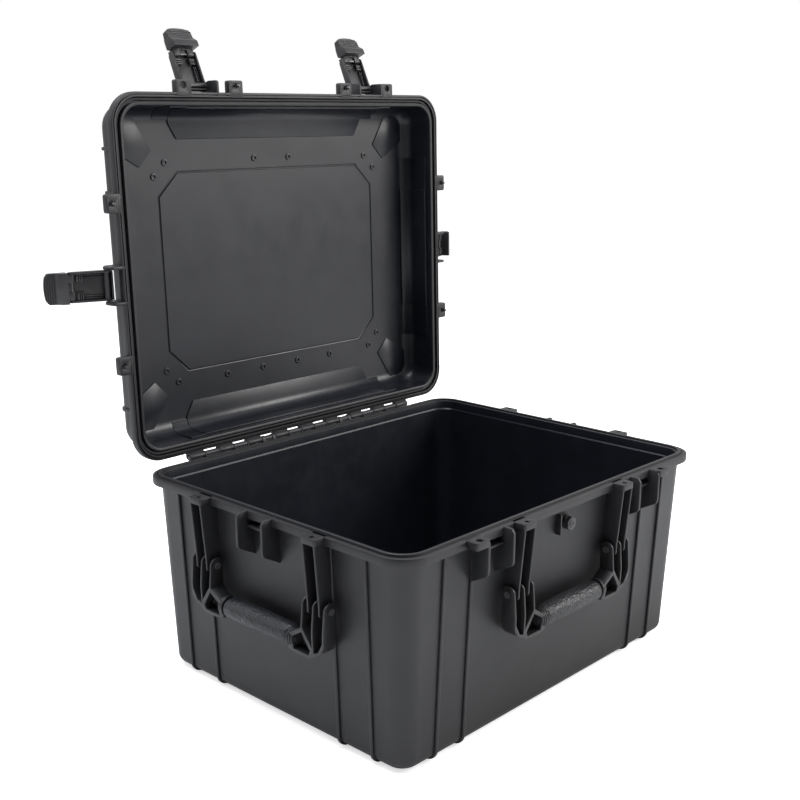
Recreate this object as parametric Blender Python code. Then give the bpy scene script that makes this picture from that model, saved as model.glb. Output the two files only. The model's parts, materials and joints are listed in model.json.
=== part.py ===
"""Hard equipment case with a hinged lid, four pull latches and three fold-down handles.

Metres, +Z up. X runs along the long front face, -Y is the front, the lid hinges along +Y.
The origin is the centre of the underside. The lid is drawn shut and then swung open
about its hinge pin; latches are drawn hanging shut and then swung up.
"""
from math import cos, pi, radians, sin

import bmesh
import bpy
from mathutils import Matrix, Vector

# ---- driving dimensions -------------------------------------------------------------
CASE_LENGTH = 0.634          # over the rim flange, along X
CASE_WIDTH = 0.500           # over the rim flange, along Y
PART_Z = 0.286               # height of the parting line between base and lid
FLANGE_DEPTH = 0.0115        # height of the flange band, on the base and on the lid
WALL_INSET = 0.011           # how far the wall stands in behind the flange band
WALL = 0.005                 # wall thickness
BASE_DRAFT = 0.0104          # extra inset of the base wall at its foot
LID_DRAFT = 0.003
CORNER_R = 0.041             # plan radius of the flange corners
CORNER_SHRINK = 0.75         # how much of an inset is taken off the corner radius
CORNER_STEPS = 6             # segments in each plan corner
FOOT_R = 0.014               # outer radius where base wall meets underside
LID_R = 0.025                # outer radius where lid wall meets lid top
SHELL_Z = 0.003              # underside of the shell, held up by the ribs
LID_TOP = 0.348
LID_CEILING = 0.343
SEAM = 0.0004                # gap between the closed halves
TONGUE_IN, TONGUE_OUT, TONGUE_H = 0.0075, 0.0125, 0.0026
GROOVE_SIDE = 0.0008         # clearance each side of the tongue
GROOVE_H = 0.0075

RIB_W, RIB_PROUD = 0.005, 0.003
FRONT_RIBS = (-0.238, -0.187, 0.187, 0.238)
SIDE_RIBS = (-0.178, -0.120, 0.120, 0.178)

HINGE_Y = CASE_WIDTH / 2 + 0.0065
HINGE_Z = PART_Z + 0.002
KNUCKLE_R, PIN_R = 0.0050, 0.0017
KNUCKLE_PITCH, KNUCKLE_W = 0.054, 0.0262
LID_OPEN = 91.8              # degrees, the lid standing at its stop

LUG_OUT = 0.0165             # how far lugs, caps and eyes stand out from the flange
PIN_OUT = 0.0092             # how far out the vertical guide and padlock holes are
EYE_X, EYE_W, EYE_R = 0.199, 0.024, 0.0045
LATCH_X = 0.1635             # latch centre on the front face
FIN_OFFSET, FIN_T = 0.0238, 0.004
LATCH_OPEN = 112.0           # degrees, rest position of every latch
LATCH_PIVOT_OUT, LATCH_PIVOT_Z = 0.010, 0.311
CATCH_LOW, CATCH_HIGH = 0.2640, 0.2668   # bar between the base fins that a lever hooks under
CATCH_OUT = 0.001
LATCH_W, LATCH_PIN_R = 0.041, 0.002
LEVER_PIN = (0.002, -0.046)  # out and up from the latch pivot, latch shut

HANDLE_SPAN = 0.108          # handle arm centre from the face centre
HANDLE_PIVOT_OUT, HANDLE_PIVOT_Z = -0.001, 0.193
PLATE_OFFSET, PLATE_T = 0.010, 0.003
FORK_OFFSET, FORK_T = 0.019, 0.0028
HANDLE_PIN_R = 0.0025
GRIP_Z, GRIP_HALF, GRIP_R, GRIP_CROWN = -0.050, 0.0605, 0.0132, 0.0016
BAR_R = 0.0080                # core bar under the grip
GRIP_OUT = 0.002             # grip axis from the pivot, outward

VALVE_X, VALVE_Z = 0.004, 0.2515
VALVE_HOLE_R = 0.0065
GAP = 0.0003                 # between pieces that touch

# face: distance of its flange from the middle, turn about Z
FACES = {
    "front": (CASE_WIDTH / 2, 0.0),
    "left": (CASE_LENGTH / 2, -pi / 2),
    "right": (CASE_LENGTH / 2, pi / 2),
}
LATCHES = {
    "front_left": ("front", -LATCH_X),
    "front_right": ("front", LATCH_X),
    "left": ("left", 0.0),
    "right": ("right", 0.0),
}


# ---- scene helpers ------------------------------------------------------------------
def clear_scene():
    for obj in list(bpy.data.objects):
        bpy.data.objects.remove(obj, do_unlink=True)


def make_material(name, colour, roughness, metallic=0.0):
    material = bpy.data.materials.new(name)
    material.use_nodes = True
    shader = material.node_tree.nodes["Principled BSDF"]
    shader.inputs["Base Color"].default_value = (*colour, 1.0)
    shader.inputs["Roughness"].default_value = roughness
    shader.inputs["Metallic"].default_value = metallic
    return material


def add_object(name, mesh, material, parent=None, matrix=None):
    """Place a mesh as a named piece; matrix is relative to the parent."""
    mesh.name = name
    mesh.materials.clear()
    mesh.materials.append(material)
    obj = bpy.data.objects.new(name, mesh)
    bpy.context.scene.collection.objects.link(obj)
    obj.parent = parent
    if matrix is not None:
        obj.matrix_local = matrix
    return obj


def add_empty(name, matrix, parent=None):
    empty = bpy.data.objects.new(name, None)
    bpy.context.scene.collection.objects.link(empty)
    empty.parent = parent
    empty.matrix_local = matrix
    return empty


def finish(bm, smooth_angle=None):
    bmesh.ops.recalc_face_normals(bm, faces=bm.faces)
    mesh = bpy.data.meshes.new("piece")
    bm.to_mesh(mesh)
    bm.free()
    if smooth_angle is not None:
        mesh.shade_smooth()
        mesh.set_sharp_from_angle(angle=radians(smooth_angle))
    return mesh


# ---- shape helpers ------------------------------------------------------------------
def prism(points, axis, low, high):
    """Closed polygon extruded from low to high along 'x', 'y' or 'z'.

    The polygon's two numbers are the other two axes in alphabetical order.
    """
    order = {"x": (2, 0, 1), "y": (0, 2, 1), "z": (0, 1, 2)}[axis]

    def place(u, v, w):
        return tuple((u, v, w)[k] for k in order)

    bm = bmesh.new()
    face = bm.faces.new([bm.verts.new(place(u, v, low)) for u, v in points])
    grown = bmesh.ops.extrude_face_region(bm, geom=[face])
    shift = Vector(place(0.0, 0.0, high - low))
    verts = [g for g in grown["geom"] if isinstance(g, bmesh.types.BMVert)]
    bmesh.ops.translate(bm, verts=verts, vec=shift)
    return finish(bm)


def box(low, high):
    corners = ((low[0], low[1]), (high[0], low[1]), (high[0], high[1]), (low[0], high[1]))
    return prism(corners, "z", low[2], high[2])


def rod(axis, centre, radius, length, sides=12):
    """Cylinder centred on a point and lying along an axis."""
    turn = {"x": Matrix.Rotation(pi / 2, 4, "Y"), "y": Matrix.Rotation(-pi / 2, 4, "X"),
            "z": Matrix.Identity(4)}[axis]
    bm = bmesh.new()
    bmesh.ops.create_cone(bm, cap_ends=True, segments=sides, radius1=radius, radius2=radius,
                          depth=length, matrix=Matrix.Translation(centre) @ turn)
    return finish(bm, 40)


def loft(loops, closed=False):
    """Skin through loops of equal count; closed joins the last loop to the first."""
    bm = bmesh.new()
    rings = [[bm.verts.new(p) for p in loop] for loop in loops]
    count = len(rings[0])
    if closed:
        rings.append(rings[0])
    for first, second in zip(rings, rings[1:]):
        for k in range(count):
            after = (k + 1) % count
            bm.faces.new((first[k], first[after], second[after], second[k]))
    if not closed:
        bm.faces.new(rings[0])
        bm.faces.new(rings[-1])
    return finish(bm, 35)


def circle(axis, along, radius, sides):
    """Points of a circle round 'x', 'y' or 'z' at a distance along it."""
    spot = {"x": (0, 1, 2), "y": (2, 0, 1), "z": (1, 2, 0)}[axis]
    points = []
    for k in range(sides):
        values = (along, radius * cos(2 * pi * k / sides), radius * sin(2 * pi * k / sides))
        points.append(tuple(values[i] for i in spot))
    return points


def turned(profile, sides, axis, closed=False):
    """Turned piece through (distance along the axis, radius) stations."""
    return loft([circle(axis, a, r, sides) for a, r in profile], closed=closed)


def rim_loop(inset, z):
    """Rounded rectangle at a given inset from the flange's outer face."""
    radius = max(CORNER_R - CORNER_SHRINK * inset, 0.012)
    half_x = CASE_LENGTH / 2 - inset
    half_y = CASE_WIDTH / 2 - inset
    points = []
    for corner, (sx, sy) in enumerate(((1, 1), (-1, 1), (-1, -1), (1, -1))):
        for step in range(CORNER_STEPS + 1):
            angle = (corner + step / CORNER_STEPS) * pi / 2
            points.append((sx * (half_x - radius) + radius * cos(angle),
                           sy * (half_y - radius) + radius * sin(angle), z))
    return points


def arc(centre, radius, start, end, steps):
    """Points of an arc in a plane, angles in degrees."""
    spread = [start + (end - start) * k / steps for k in range(steps + 1)]
    return [(centre[0] + radius * cos(radians(a)), centre[1] + radius * sin(radians(a)))
            for a in spread]


def combine(mesh, others, operation):
    """Boolean of one mesh with several, baked into a new mesh."""
    scene = bpy.context.scene
    target = bpy.data.objects.new("target", mesh)
    scene.collection.objects.link(target)
    tools = bpy.data.collections.new("tools")
    scene.collection.children.link(tools)
    for other in others:
        tools.objects.link(bpy.data.objects.new("tool", other))
    modifier = target.modifiers.new("combine", "BOOLEAN")
    modifier.operation = operation
    modifier.operand_type = "COLLECTION"
    modifier.collection = tools
    modifier.solver = "EXACT"
    graph = bpy.context.evaluated_depsgraph_get()
    result = bpy.data.meshes.new_from_object(target.evaluated_get(graph), depsgraph=graph)
    for obj in list(tools.objects) + [target]:
        bpy.data.objects.remove(obj, do_unlink=True)
    bpy.data.collections.remove(tools)
    tidy = bmesh.new()
    tidy.from_mesh(result)
    bmesh.ops.remove_doubles(tidy, verts=tidy.verts, dist=0.000002)
    bmesh.ops.triangulate(tidy, faces=tidy.faces)
    tidy.to_mesh(result)
    tidy.free()
    result.shade_smooth()
    result.set_sharp_from_angle(angle=radians(35))
    return result


def union(mesh, others):
    return combine(mesh, others, "UNION")


def cut(mesh, others):
    return combine(mesh, others, "DIFFERENCE")


def on_face(mesh, face, along=0.0, out=0.0, z=0.0):
    """Move a mesh drawn for a face (x along, -y outward from the flange) onto that face."""
    mesh.transform(face_matrix(face, along, out, z))
    return mesh


def face_matrix(face, along, out, z):
    half, turn = FACES[face]
    return Matrix.Rotation(turn, 4, "Z") @ Matrix.Translation((along, -(half + out), z))


# ---- shells -------------------------------------------------------------------------
def base_profile():
    """Inset and height of each loop, from the underside, over the rim, to the floor."""
    foot = WALL_INSET + BASE_DRAFT
    outer = arc((foot + FOOT_R, SHELL_Z + FOOT_R), FOOT_R, 270, 180, 4)
    band = PART_Z - FLANGE_DEPTH
    rim = [(WALL_INSET, band - 0.003), (WALL_INSET - 0.0025, band - 0.0005), (0.0015, band),
           (0.0, band + 0.0015), (0.0, PART_Z - 0.001), (0.001, PART_Z),
           (TONGUE_IN, PART_Z), (TONGUE_IN + 0.0006, PART_Z + TONGUE_H),
           (TONGUE_OUT - 0.0006, PART_Z + TONGUE_H), (TONGUE_OUT, PART_Z),
           (0.0148, PART_Z), (0.016, PART_Z - 0.0015)]
    inner_foot = foot + WALL
    inner = arc((inner_foot + 0.012, SHELL_Z + WALL + 0.012), 0.012, 180, 270, 3)
    return outer + rim + inner


def lid_profile():
    """Inset and height of each loop, from the lid top, round the rim, to the ceiling."""
    low = PART_Z + SEAM
    band = PART_Z + FLANGE_DEPTH
    head = WALL_INSET + LID_DRAFT
    outer = arc((head + LID_R, LID_TOP - LID_R), LID_R, 90, 180, 5)
    rim = [(WALL_INSET, band + 0.003), (WALL_INSET - 0.0025, band + 0.0005), (0.0015, band),
           (0.0, band - 0.0015), (0.0, low + 0.0008), (0.0008, low),
           (TONGUE_IN - GROOVE_SIDE, low), (TONGUE_IN - GROOVE_SIDE, low + GROOVE_H),
           (TONGUE_OUT + GROOVE_SIDE, low + GROOVE_H), (TONGUE_OUT + GROOVE_SIDE, low),
           (0.0158, low), (0.0172, low + 0.0015)]
    inner_head = head + WALL
    inner = arc((inner_head + 0.020, LID_CEILING - 0.020), 0.020, 180, 90, 4)
    return outer + rim + inner


def rib_runner(centre, half_y):
    """Rib down the front wall, across the underside and up the back wall."""
    top = PART_Z - FLANGE_DEPTH - 0.001
    foot = WALL_INSET + BASE_DRAFT
    low_y, high_y = half_y - foot, half_y - WALL_INSET
    bend = FOOT_R + RIB_PROUD
    right = [(high_y + RIB_PROUD, top)]
    right += arc((low_y + RIB_PROUD - bend, bend), bend, 0, -90, 4)
    outer = right + [(-y, z) for y, z in reversed(right)]
    skin = 0.0018
    turn = FOOT_R - skin
    inner_right = [(high_y - skin, top)]
    inner_right += arc((low_y - FOOT_R, SHELL_Z + FOOT_R), turn, 0, -90, 4)
    inner = [(-y, z) for y, z in inner_right] + list(reversed(inner_right))
    return prism(outer + inner, "x", centre - RIB_W / 2, centre + RIB_W / 2)


def side_rib(centre, sign):
    """Rib down an end wall that wraps 30 mm under the case."""
    top = PART_Z - FLANGE_DEPTH - 0.001
    foot = WALL_INSET + BASE_DRAFT
    half = CASE_LENGTH / 2
    bend = FOOT_R + RIB_PROUD
    skin = 0.0018
    outer = [(half - WALL_INSET + RIB_PROUD, top)]
    outer += arc((half - foot - FOOT_R, bend), bend, 0, -90, 4)
    tail = half - foot - FOOT_R - 0.016
    inner = [(half - WALL_INSET - skin, top)]
    inner += arc((half - foot - FOOT_R, SHELL_Z + FOOT_R), FOOT_R - skin, 0, -90, 4)
    outline = outer + [(tail, 0.0), (tail, SHELL_Z + skin)] + list(reversed(inner))
    outline = [(sign * x, z) for x, z in outline]
    return prism(outline, "y", centre - RIB_W / 2, centre + RIB_W / 2)


def lid_rib(centre, face_half, axis, sign):
    """Rib up a lid wall that wraps 30 mm over the lid top."""
    low = PART_Z + FLANGE_DEPTH + 0.001
    head = WALL_INSET + LID_DRAFT
    skin = 0.0018
    mid = (face_half - head - LID_R, LID_TOP - LID_R)
    outer = [(face_half - WALL_INSET + RIB_PROUD, low)]
    outer += arc(mid, LID_R + RIB_PROUD, 0, 90, 5)
    tail = mid[0] - 0.030
    inner = [(face_half - WALL_INSET - skin, low)] + arc(mid, LID_R - skin, 0, 90, 5)
    outline = outer + [(tail, LID_TOP + RIB_PROUD), (tail, LID_TOP - skin)]
    outline += list(reversed(inner))
    outline = [(sign * u, z) for u, z in outline]
    return prism(outline, axis, centre - RIB_W / 2, centre + RIB_W / 2)


def face_fin(face, along, outline):
    """Vertical fin on a face; outline is (outward, height), outward from the flange."""
    return on_face(prism([(-o, z) for o, z in outline], "x", along - FIN_T / 2,
                         along + FIN_T / 2), face)


def catch_bar(face, along):
    """Bar between a pair of base fins that the latch lever hooks under."""
    return on_face(box((along - FIN_OFFSET, -CATCH_OUT, CATCH_LOW),
                       (along + FIN_OFFSET, 0.0135, CATCH_HIGH)), face)


def base_fin_outline():
    top = PART_Z - 0.0005
    return [(-0.014, top), (0.0115, top), (0.0155, top - 0.006), (0.0155, 0.243),
            (0.0125, 0.2345), (0.004, 0.228), (-0.014, 0.2235)]


def lid_fin_outline():
    low = PART_Z + SEAM
    shoulder = PART_Z + FLANGE_DEPTH
    return [(-0.005, low), (0.0145, low), (0.0165, low + 0.003), (0.0165, 0.3065),
            (0.0152, 0.3103), (0.0050, 0.3225), (-0.0135, 0.3225),
            (-0.0135, shoulder + 0.003), (-0.005, shoulder - 0.002)]


def bracket(face, along):
    """Cap with two tapering plates that carry one arm of a handle."""
    half_cap = PLATE_OFFSET + PLATE_T / 2 + 0.001
    cap = box((along - half_cap, -LUG_OUT, PART_Z - 0.0085), (along + half_cap, 0.006, PART_Z))
    pieces = [on_face(cap, face)]
    outline = [(-0.013, PART_Z - 0.004), (LUG_OUT - 0.0004, PART_Z - 0.004), (0.0085, 0.196),
               (0.0065, 0.188), (0.001, 0.1835), (-0.0165, 0.180)]
    for offset in (-PLATE_OFFSET, PLATE_OFFSET):
        plate = prism([(-o, z) for o, z in outline], "x", along + offset - PLATE_T / 2,
                      along + offset + PLATE_T / 2)
        pieces.append(on_face(plate, face))
    return pieces


def eye_block(sign, low, high):
    """Padlock lug beside the outer latch fin on the front."""
    centre = sign * EYE_X
    return on_face(box((centre - EYE_W / 2, -LUG_OUT, low), (centre + EYE_W / 2, 0.006, high)),
                   "front")


def knuckle(centre, sign):
    """Hinge knuckle with its web; sign +1 hangs from the lid, -1 from the base."""
    barrel = rod("x", (centre, HINGE_Y, HINGE_Z), KNUCKLE_R, KNUCKLE_W, 14)
    edge = CASE_WIDTH / 2 - 0.0015
    if sign > 0:
        rise = 0.0085
        web = [(edge, PART_Z + SEAM + 0.0004), (HINGE_Y, HINGE_Z - 0.001),
               (HINGE_Y + 0.0035, HINGE_Z + 0.003), (HINGE_Y, HINGE_Z + rise - 0.001),
               (edge, HINGE_Z + rise - 0.001)]
    else:
        web = [(edge, PART_Z - 0.0008), (edge, PART_Z - 0.0105), (HINGE_Y, PART_Z - 0.0085),
               (HINGE_Y + 0.0040, HINGE_Z - 0.0025), (HINGE_Y, HINGE_Z)]
    half = KNUCKLE_W / 2 - 0.0002
    return [barrel, prism(web, "x", centre - half, centre + half)]


def knuckle_centres(lid):
    if lid:
        return [k * KNUCKLE_PITCH for k in range(-4, 5)]
    return [(k + 0.5) * KNUCKLE_PITCH for k in range(-4, 4)]


def base_shell():
    shell = loft([rim_loop(i, z) for i, z in base_profile()])
    extras = [rib_runner(x, CASE_WIDTH / 2) for x in FRONT_RIBS]
    extras += [side_rib(y, sign) for y in SIDE_RIBS for sign in (-1, 1)]
    extras.append(box((-0.020, -0.020, 0.0), (0.020, 0.020, SHELL_Z + 0.002)))
    for face, along in LATCHES.values():
        extras += [face_fin(face, along + side * FIN_OFFSET, base_fin_outline())
                   for side in (-1, 1)]
        extras.append(catch_bar(face, along))
    for face in FACES:
        for side in (-1, 1):
            extras += bracket(face, side * HANDLE_SPAN)
    extras += [eye_block(sign, PART_Z - 0.0095, PART_Z) for sign in (-1, 1)]
    for centre in knuckle_centres(False):
        extras += knuckle(centre, -1)
    guard = box((VALVE_X - 0.0210, -(0.0 - WALL_INSET + 0.0075), VALVE_Z - 0.009),
                (VALVE_X - 0.0180, WALL_INSET + 0.004, VALVE_Z + 0.009))
    extras.append(on_face(guard, "front"))
    shell = union(shell, extras)
    bores = [rod("x", (0, HINGE_Y, HINGE_Z), PIN_R + GAP * 1.4, 0.5)]
    for sign in (-1, 1):
        bores.append(on_face(rod("z", (sign * EYE_X, -PIN_OUT, PART_Z), EYE_R, 0.04, 14), "front"))
    for face in FACES:
        for side in (-1, 1):
            along = side * HANDLE_SPAN
            bores.append(on_face(rod("z", (along, -PIN_OUT, PART_Z), 0.0032, 0.03), face))
            pivot = (along, -HANDLE_PIVOT_OUT, HANDLE_PIVOT_Z)
            bores.append(on_face(rod("x", pivot, HANDLE_PIN_R + GAP * 1.4, 0.035), face))
    bores.append(on_face(rod("y", (VALVE_X, WALL_INSET, VALVE_Z), VALVE_HOLE_R, 0.03, 16),
                         "front"))
    return cut(shell, bores)


def lid_shell():
    shell = loft([rim_loop(i, z) for i, z in lid_profile()])
    half_y, half_x = CASE_WIDTH / 2, CASE_LENGTH / 2
    extras = [lid_rib(x, half_y, "x", sign) for x in FRONT_RIBS for sign in (-1, 1)]
    extras += [lid_rib(y, half_x, "y", sign) for y in SIDE_RIBS for sign in (-1, 1)]
    for face, along in LATCHES.values():
        extras += [face_fin(face, along + side * FIN_OFFSET, lid_fin_outline())
                   for side in (-1, 1)]
    low = PART_Z + SEAM
    half_lug = PLATE_OFFSET + PLATE_T / 2 + 0.001
    for face in FACES:
        for side in (-1, 1):
            along = side * HANDLE_SPAN
            lug = box((along - half_lug, -LUG_OUT, low), (along + half_lug, 0.006, low + 0.0095))
            extras.append(on_face(lug, face))
    extras += [eye_block(sign, low, low + 0.0095) for sign in (-1, 1)]
    for centre in knuckle_centres(True):
        extras += knuckle(centre, 1)
    shell = union(shell, extras)
    bores = [rod("x", (0, HINGE_Y, HINGE_Z), PIN_R + GAP * 1.4, 0.5)]
    for sign in (-1, 1):
        bores.append(on_face(rod("z", (sign * EYE_X, -PIN_OUT, PART_Z), EYE_R, 0.04, 14), "front"))
    for face, along in LATCHES.values():
        pivot = (along, -LATCH_PIVOT_OUT, LATCH_PIVOT_Z)
        bores.append(on_face(rod("x", pivot, LATCH_PIN_R + GAP * 1.4, 0.06), face))
    for face in FACES:
        for side in (-1, 1):
            bores.append(on_face(rod("z", (side * HANDLE_SPAN, -PIN_OUT, low + 0.003),
                                     0.0020 + GAP * 1.4, 0.009), face))
    return cut(shell, bores)


def gasket():
    """Foam ring that lies in the top of the lid groove."""
    inner, outer = TONGUE_IN - 0.0003, TONGUE_OUT + 0.0003
    top = PART_Z + SEAM + GROOVE_H - GAP
    low = PART_Z + TONGUE_H + 0.0006
    mid = (low + top) / 2
    section = [(inner, mid), (inner + 0.0012, low), (outer - 0.0012, low), (outer, mid),
               (outer - 0.0012, top), (inner + 0.0012, top)]
    return loft([rim_loop(i, z) for i, z in section], closed=True)


def guide_pin():
    """Steel dowel pressed into a lid lug; it drops into a bracket cap. Axis along Z."""
    return turned([(-0.0080, 0.0010), (-0.0050, 0.0020), (0.0070, 0.0020)], 12, "z")


# ---- latch --------------------------------------------------------------------------
def latch_arm():
    """U-shaped arm with a heel round its pivot, drawn hanging shut; x across, -y outward."""
    half = LATCH_W / 2
    wall = 0.003
    cheek = [(-0.005, 0.003), (-0.002, 0.006), (0.006, 0.006), (0.009, 0.003), (0.009, -0.044),
             (0.006, -0.050), (-0.001, -0.050), (-0.003, -0.046), (-0.003, -0.010)]
    sides = [prism([(-o, z) for o, z in cheek], "x", low, low + wall)
             for low in (-half, half - wall)]
    plate = prism([(-o, z) for o, z in [(0.0058, 0.0046), (0.0082, 0.0020), (0.0082, -0.0400),
                                        (0.0058, -0.0400)]], "x", -half + 0.001, half - 0.001)
    heel_outline = arc((0, 0), 0.0086, 12, 118, 5) + arc((0, 0), 0.0062, 118, 12, 5)
    heel = prism([(-o, z) for o, z in heel_outline], "x", -half + 0.0012, half - 0.0012)
    arm = union(sides[0], [sides[1], plate, heel])
    bores = [rod("x", (0, 0, 0), LATCH_PIN_R + GAP * 1.4, 0.06),
             rod("x", (0, -LEVER_PIN[0], LEVER_PIN[1]), 0.0015 + GAP * 1.4, 0.06)]
    return cut(arm, bores)


def latch_lever():
    """Thumb lever with its hooked lip, drawn shut about its own pin; x across, -y outward."""
    half = LATCH_W / 2
    thumb = [(-0.0148, -0.0068), (0.0075, -0.0068), (0.0105, -0.0120), (0.0105, -0.0240),
             (0.0070, -0.0330), (0.0015, -0.0372), (-0.0035, -0.0372), (-0.0060, -0.0320),
             (-0.0085, -0.0190), (-0.0148, -0.0110)]
    neck = [(-0.0032, 0.0020), (-0.0010, 0.0036), (0.0012, 0.0036), (0.0032, 0.0010),
            (0.0040, -0.0080), (-0.0036, -0.0080)]
    body = prism([(-o, z) for o, z in thumb], "x", -half, half)
    tongue = prism([(-o, z) for o, z in neck], "x", -half + 0.0036, half - 0.0036)
    return cut(union(body, [tongue]), [rod("x", (0, 0, 0), 0.0015 + GAP * 1.4, 0.06)])


# ---- handle -------------------------------------------------------------------------
def arm_outline(sign):
    """Front outline of one handle arm, relative to its pivot; sign points outward."""
    points = [(-0.0204, 0.0115), (0.0204, 0.0115), (0.0204, -0.0400), (0.0110, -0.0590),
              (-0.0080, -0.0670), (-0.0440, -0.0640), (-0.0440, -0.0360),
              (-0.0340, -0.0380), (-0.0204, -0.0270)]
    return [(sign * (HANDLE_SPAN + x), z) for x, z in points]


def arm_windows(sign):
    """Openings through one arm: two slots for the bracket plates and the truss window."""
    outer_slot = [(0.0014, 0.02), (0.0176, 0.02), (0.0176, -0.0390), (0.0090, -0.0550),
                  (0.0014, -0.0550)]
    inner_slot = [(-0.0176, 0.02), (-0.0014, 0.02), (-0.0014, -0.0530), (-0.0176, -0.0300)]
    window = [(-0.0190, -0.0345), (-0.0060, -0.0545), (-0.0100, -0.0600), (-0.0360, -0.0580),
              (-0.0360, -0.0440)]
    return [[(sign * (HANDLE_SPAN + x), z) for x, z in shape]
            for shape in (outer_slot, inner_slot, window)]


def handle_frame():
    """Both arms, collars and the core bar under the grip, drawn about the pivot axis."""
    side_view = arc((0.0, 0.0), 0.0105, 20, 160, 6)
    side_view += [(-0.0095, -0.030), (-0.0075, -0.0680), (0.0110, -0.0680), (0.0128, -0.030)]
    side_view = [(-o, z) for o, z in side_view]
    arms = []
    for sign in (-1, 1):
        slab = prism(arm_outline(sign), "y", -0.02, 0.02)
        slab = combine(slab, [prism(side_view, "x", -0.2, 0.2)], "INTERSECT")
        arms.append(cut(slab, [prism(w, "y", -0.03, 0.03) for w in arm_windows(sign)]))
    collars = [rod("x", (sign * 0.0645, -GRIP_OUT, GRIP_Z), 0.0142, 0.006, 16)
               for sign in (-1, 1)]
    bar = rod("x", (0, -GRIP_OUT, GRIP_Z), BAR_R, 0.136, 12)
    frame = union(bar, arms + collars)
    return cut(frame, [rod("x", (0, 0, 0), HANDLE_PIN_R + GAP * 1.4, 0.4)])


def handle_grip():
    """Rubber sleeve with a crowned outside around the core bar, axis along X."""
    stations = 7
    profile = []
    for k in range(stations):
        x = GRIP_HALF * (2 * k / (stations - 1) - 1)
        profile.append((x, GRIP_R + GRIP_CROWN * cos(pi / 2 * x / GRIP_HALF)))
    bore = BAR_R + 2 * GAP
    grip = turned(profile + [(GRIP_HALF, bore), (-GRIP_HALF, bore)], 18, "x", closed=True)
    grip.transform(Matrix.Translation((0, -GRIP_OUT, GRIP_Z)))
    return grip


def handle_pin():
    """Pivot pin with a round head at each end, lying along X."""
    reach = FORK_OFFSET + FORK_T / 2 + GAP
    head = 0.0024
    return turned([(-reach - head, 0.0044), (-reach, 0.0044), (-reach, HANDLE_PIN_R),
                   (reach, HANDLE_PIN_R), (reach, 0.0044), (reach + head, 0.0044)], 12, "x")


# ---- valve --------------------------------------------------------------------------
def valve_body():
    """Hexagonal head outside, bored stem through the wall; -y outward."""
    head = rod("y", (0, -0.0072, 0), 0.0100, 0.0075, 6)
    stem = rod("y", (0, 0.0035, 0), 0.0058, 0.0180, 14)
    body = union(head, [stem])
    return cut(body, [rod("y", (0, 0.0035, 0), 0.0034, 0.0300 - 0.0050, 12)])


def ring(centre_y, thickness, outer, inner, sides):
    """Flat ring round the Y axis."""
    low, high = centre_y - thickness / 2, centre_y + thickness / 2
    return turned([(low, outer), (high, outer), (high, inner), (low, inner)], sides, "y",
                  closed=True)


# ---- assembly -----------------------------------------------------------------------
def build_base(finishes):
    add_object("base_shell", base_shell(), finishes["shell"])
    span = 8.5 * KNUCKLE_PITCH
    add_object("hinge_pin", rod("x", (0, 0, 0), PIN_R, span, 12), finishes["steel"],
               matrix=Matrix.Translation((0, HINGE_Y, HINGE_Z)))
    wall_y = WALL_INSET + BASE_DRAFT * (1 - VALVE_Z / (PART_Z - FLANGE_DEPTH))
    seat = face_matrix("front", VALVE_X, -wall_y, VALVE_Z)
    add_object("purge_valve_body", valve_body(), finishes["fitting"], matrix=seat)
    add_object("purge_valve_o_ring", ring(-0.0018, 0.0022, 0.0086, 0.0061, 16),
               finishes["rubber"], matrix=seat)
    add_object("purge_valve_nut", ring(0.0081, 0.0044, 0.0098, 0.0072, 6),
               finishes["fitting"], matrix=seat)
    add_object("purge_valve_membrane", rod("y", (0, -0.0070, 0), 0.0030, 0.0012, 12),
               finishes["rubber"], matrix=seat)


def build_handles(finishes):
    frame, grip, pin = handle_frame(), handle_grip(), handle_pin()
    for face in FACES:
        place = face_matrix(face, 0.0, HANDLE_PIVOT_OUT, HANDLE_PIVOT_Z)
        axis = add_empty(face + "_handle_axis", place)
        add_object(face + "_handle_frame", frame.copy(), finishes["handle"], axis)
        add_object(face + "_handle_grip", grip.copy(), finishes["rubber"], axis)
        for end, side in (("a", -1), ("b", 1)):
            spot = place @ Matrix.Translation((side * HANDLE_SPAN, 0, 0))
            add_object(f"{face}_handle_pin_{end}", pin.copy(), finishes["steel"], matrix=spot)


def build_lid(finishes):
    hinge = Matrix.Translation((0, HINGE_Y, HINGE_Z))
    opened = hinge @ Matrix.Rotation(-radians(LID_OPEN), 4, "X")
    axis = add_empty("lid_axis", opened)
    closed = hinge.inverted()
    add_object("lid_shell", lid_shell(), finishes["shell"], axis, closed)
    add_object("lid_gasket", gasket(), finishes["rubber"], axis, closed)
    dowel = guide_pin()
    for face in FACES:
        for end, side in (("a", -1), ("b", 1)):
            spot = face_matrix(face, side * HANDLE_SPAN, PIN_OUT, PART_Z + SEAM)
            add_object(f"{face}_guide_pin_{end}", dowel.copy(), finishes["steel"], axis,
                       closed @ spot)
    arm, lever = latch_arm(), latch_lever()
    pin = rod("x", (0, 0, 0), LATCH_PIN_R, 2 * FIN_OFFSET + FIN_T + 0.001, 12)
    lever_pin = rod("x", (0, 0, 0), 0.0015, LATCH_W - 0.001, 10)
    for name, (face, along) in LATCHES.items():
        place = closed @ face_matrix(face, along, LATCH_PIVOT_OUT, LATCH_PIVOT_Z)
        add_object(name + "_latch_pivot_pin", pin.copy(), finishes["steel"], axis, place)
        swung = place @ Matrix.Rotation(-radians(LATCH_OPEN), 4, "X")
        latch_axis = add_empty(name + "_latch_axis", swung, axis)
        add_object(name + "_latch_arm", arm.copy(), finishes["latch"], latch_axis)
        joint = Matrix.Translation((0, -LEVER_PIN[0], LEVER_PIN[1]))
        add_object(name + "_latch_lever_pin", lever_pin.copy(), finishes["steel"],
                   latch_axis, joint)
        add_object(name + "_latch_lever", lever.copy(), finishes["latch"], latch_axis, joint)


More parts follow.
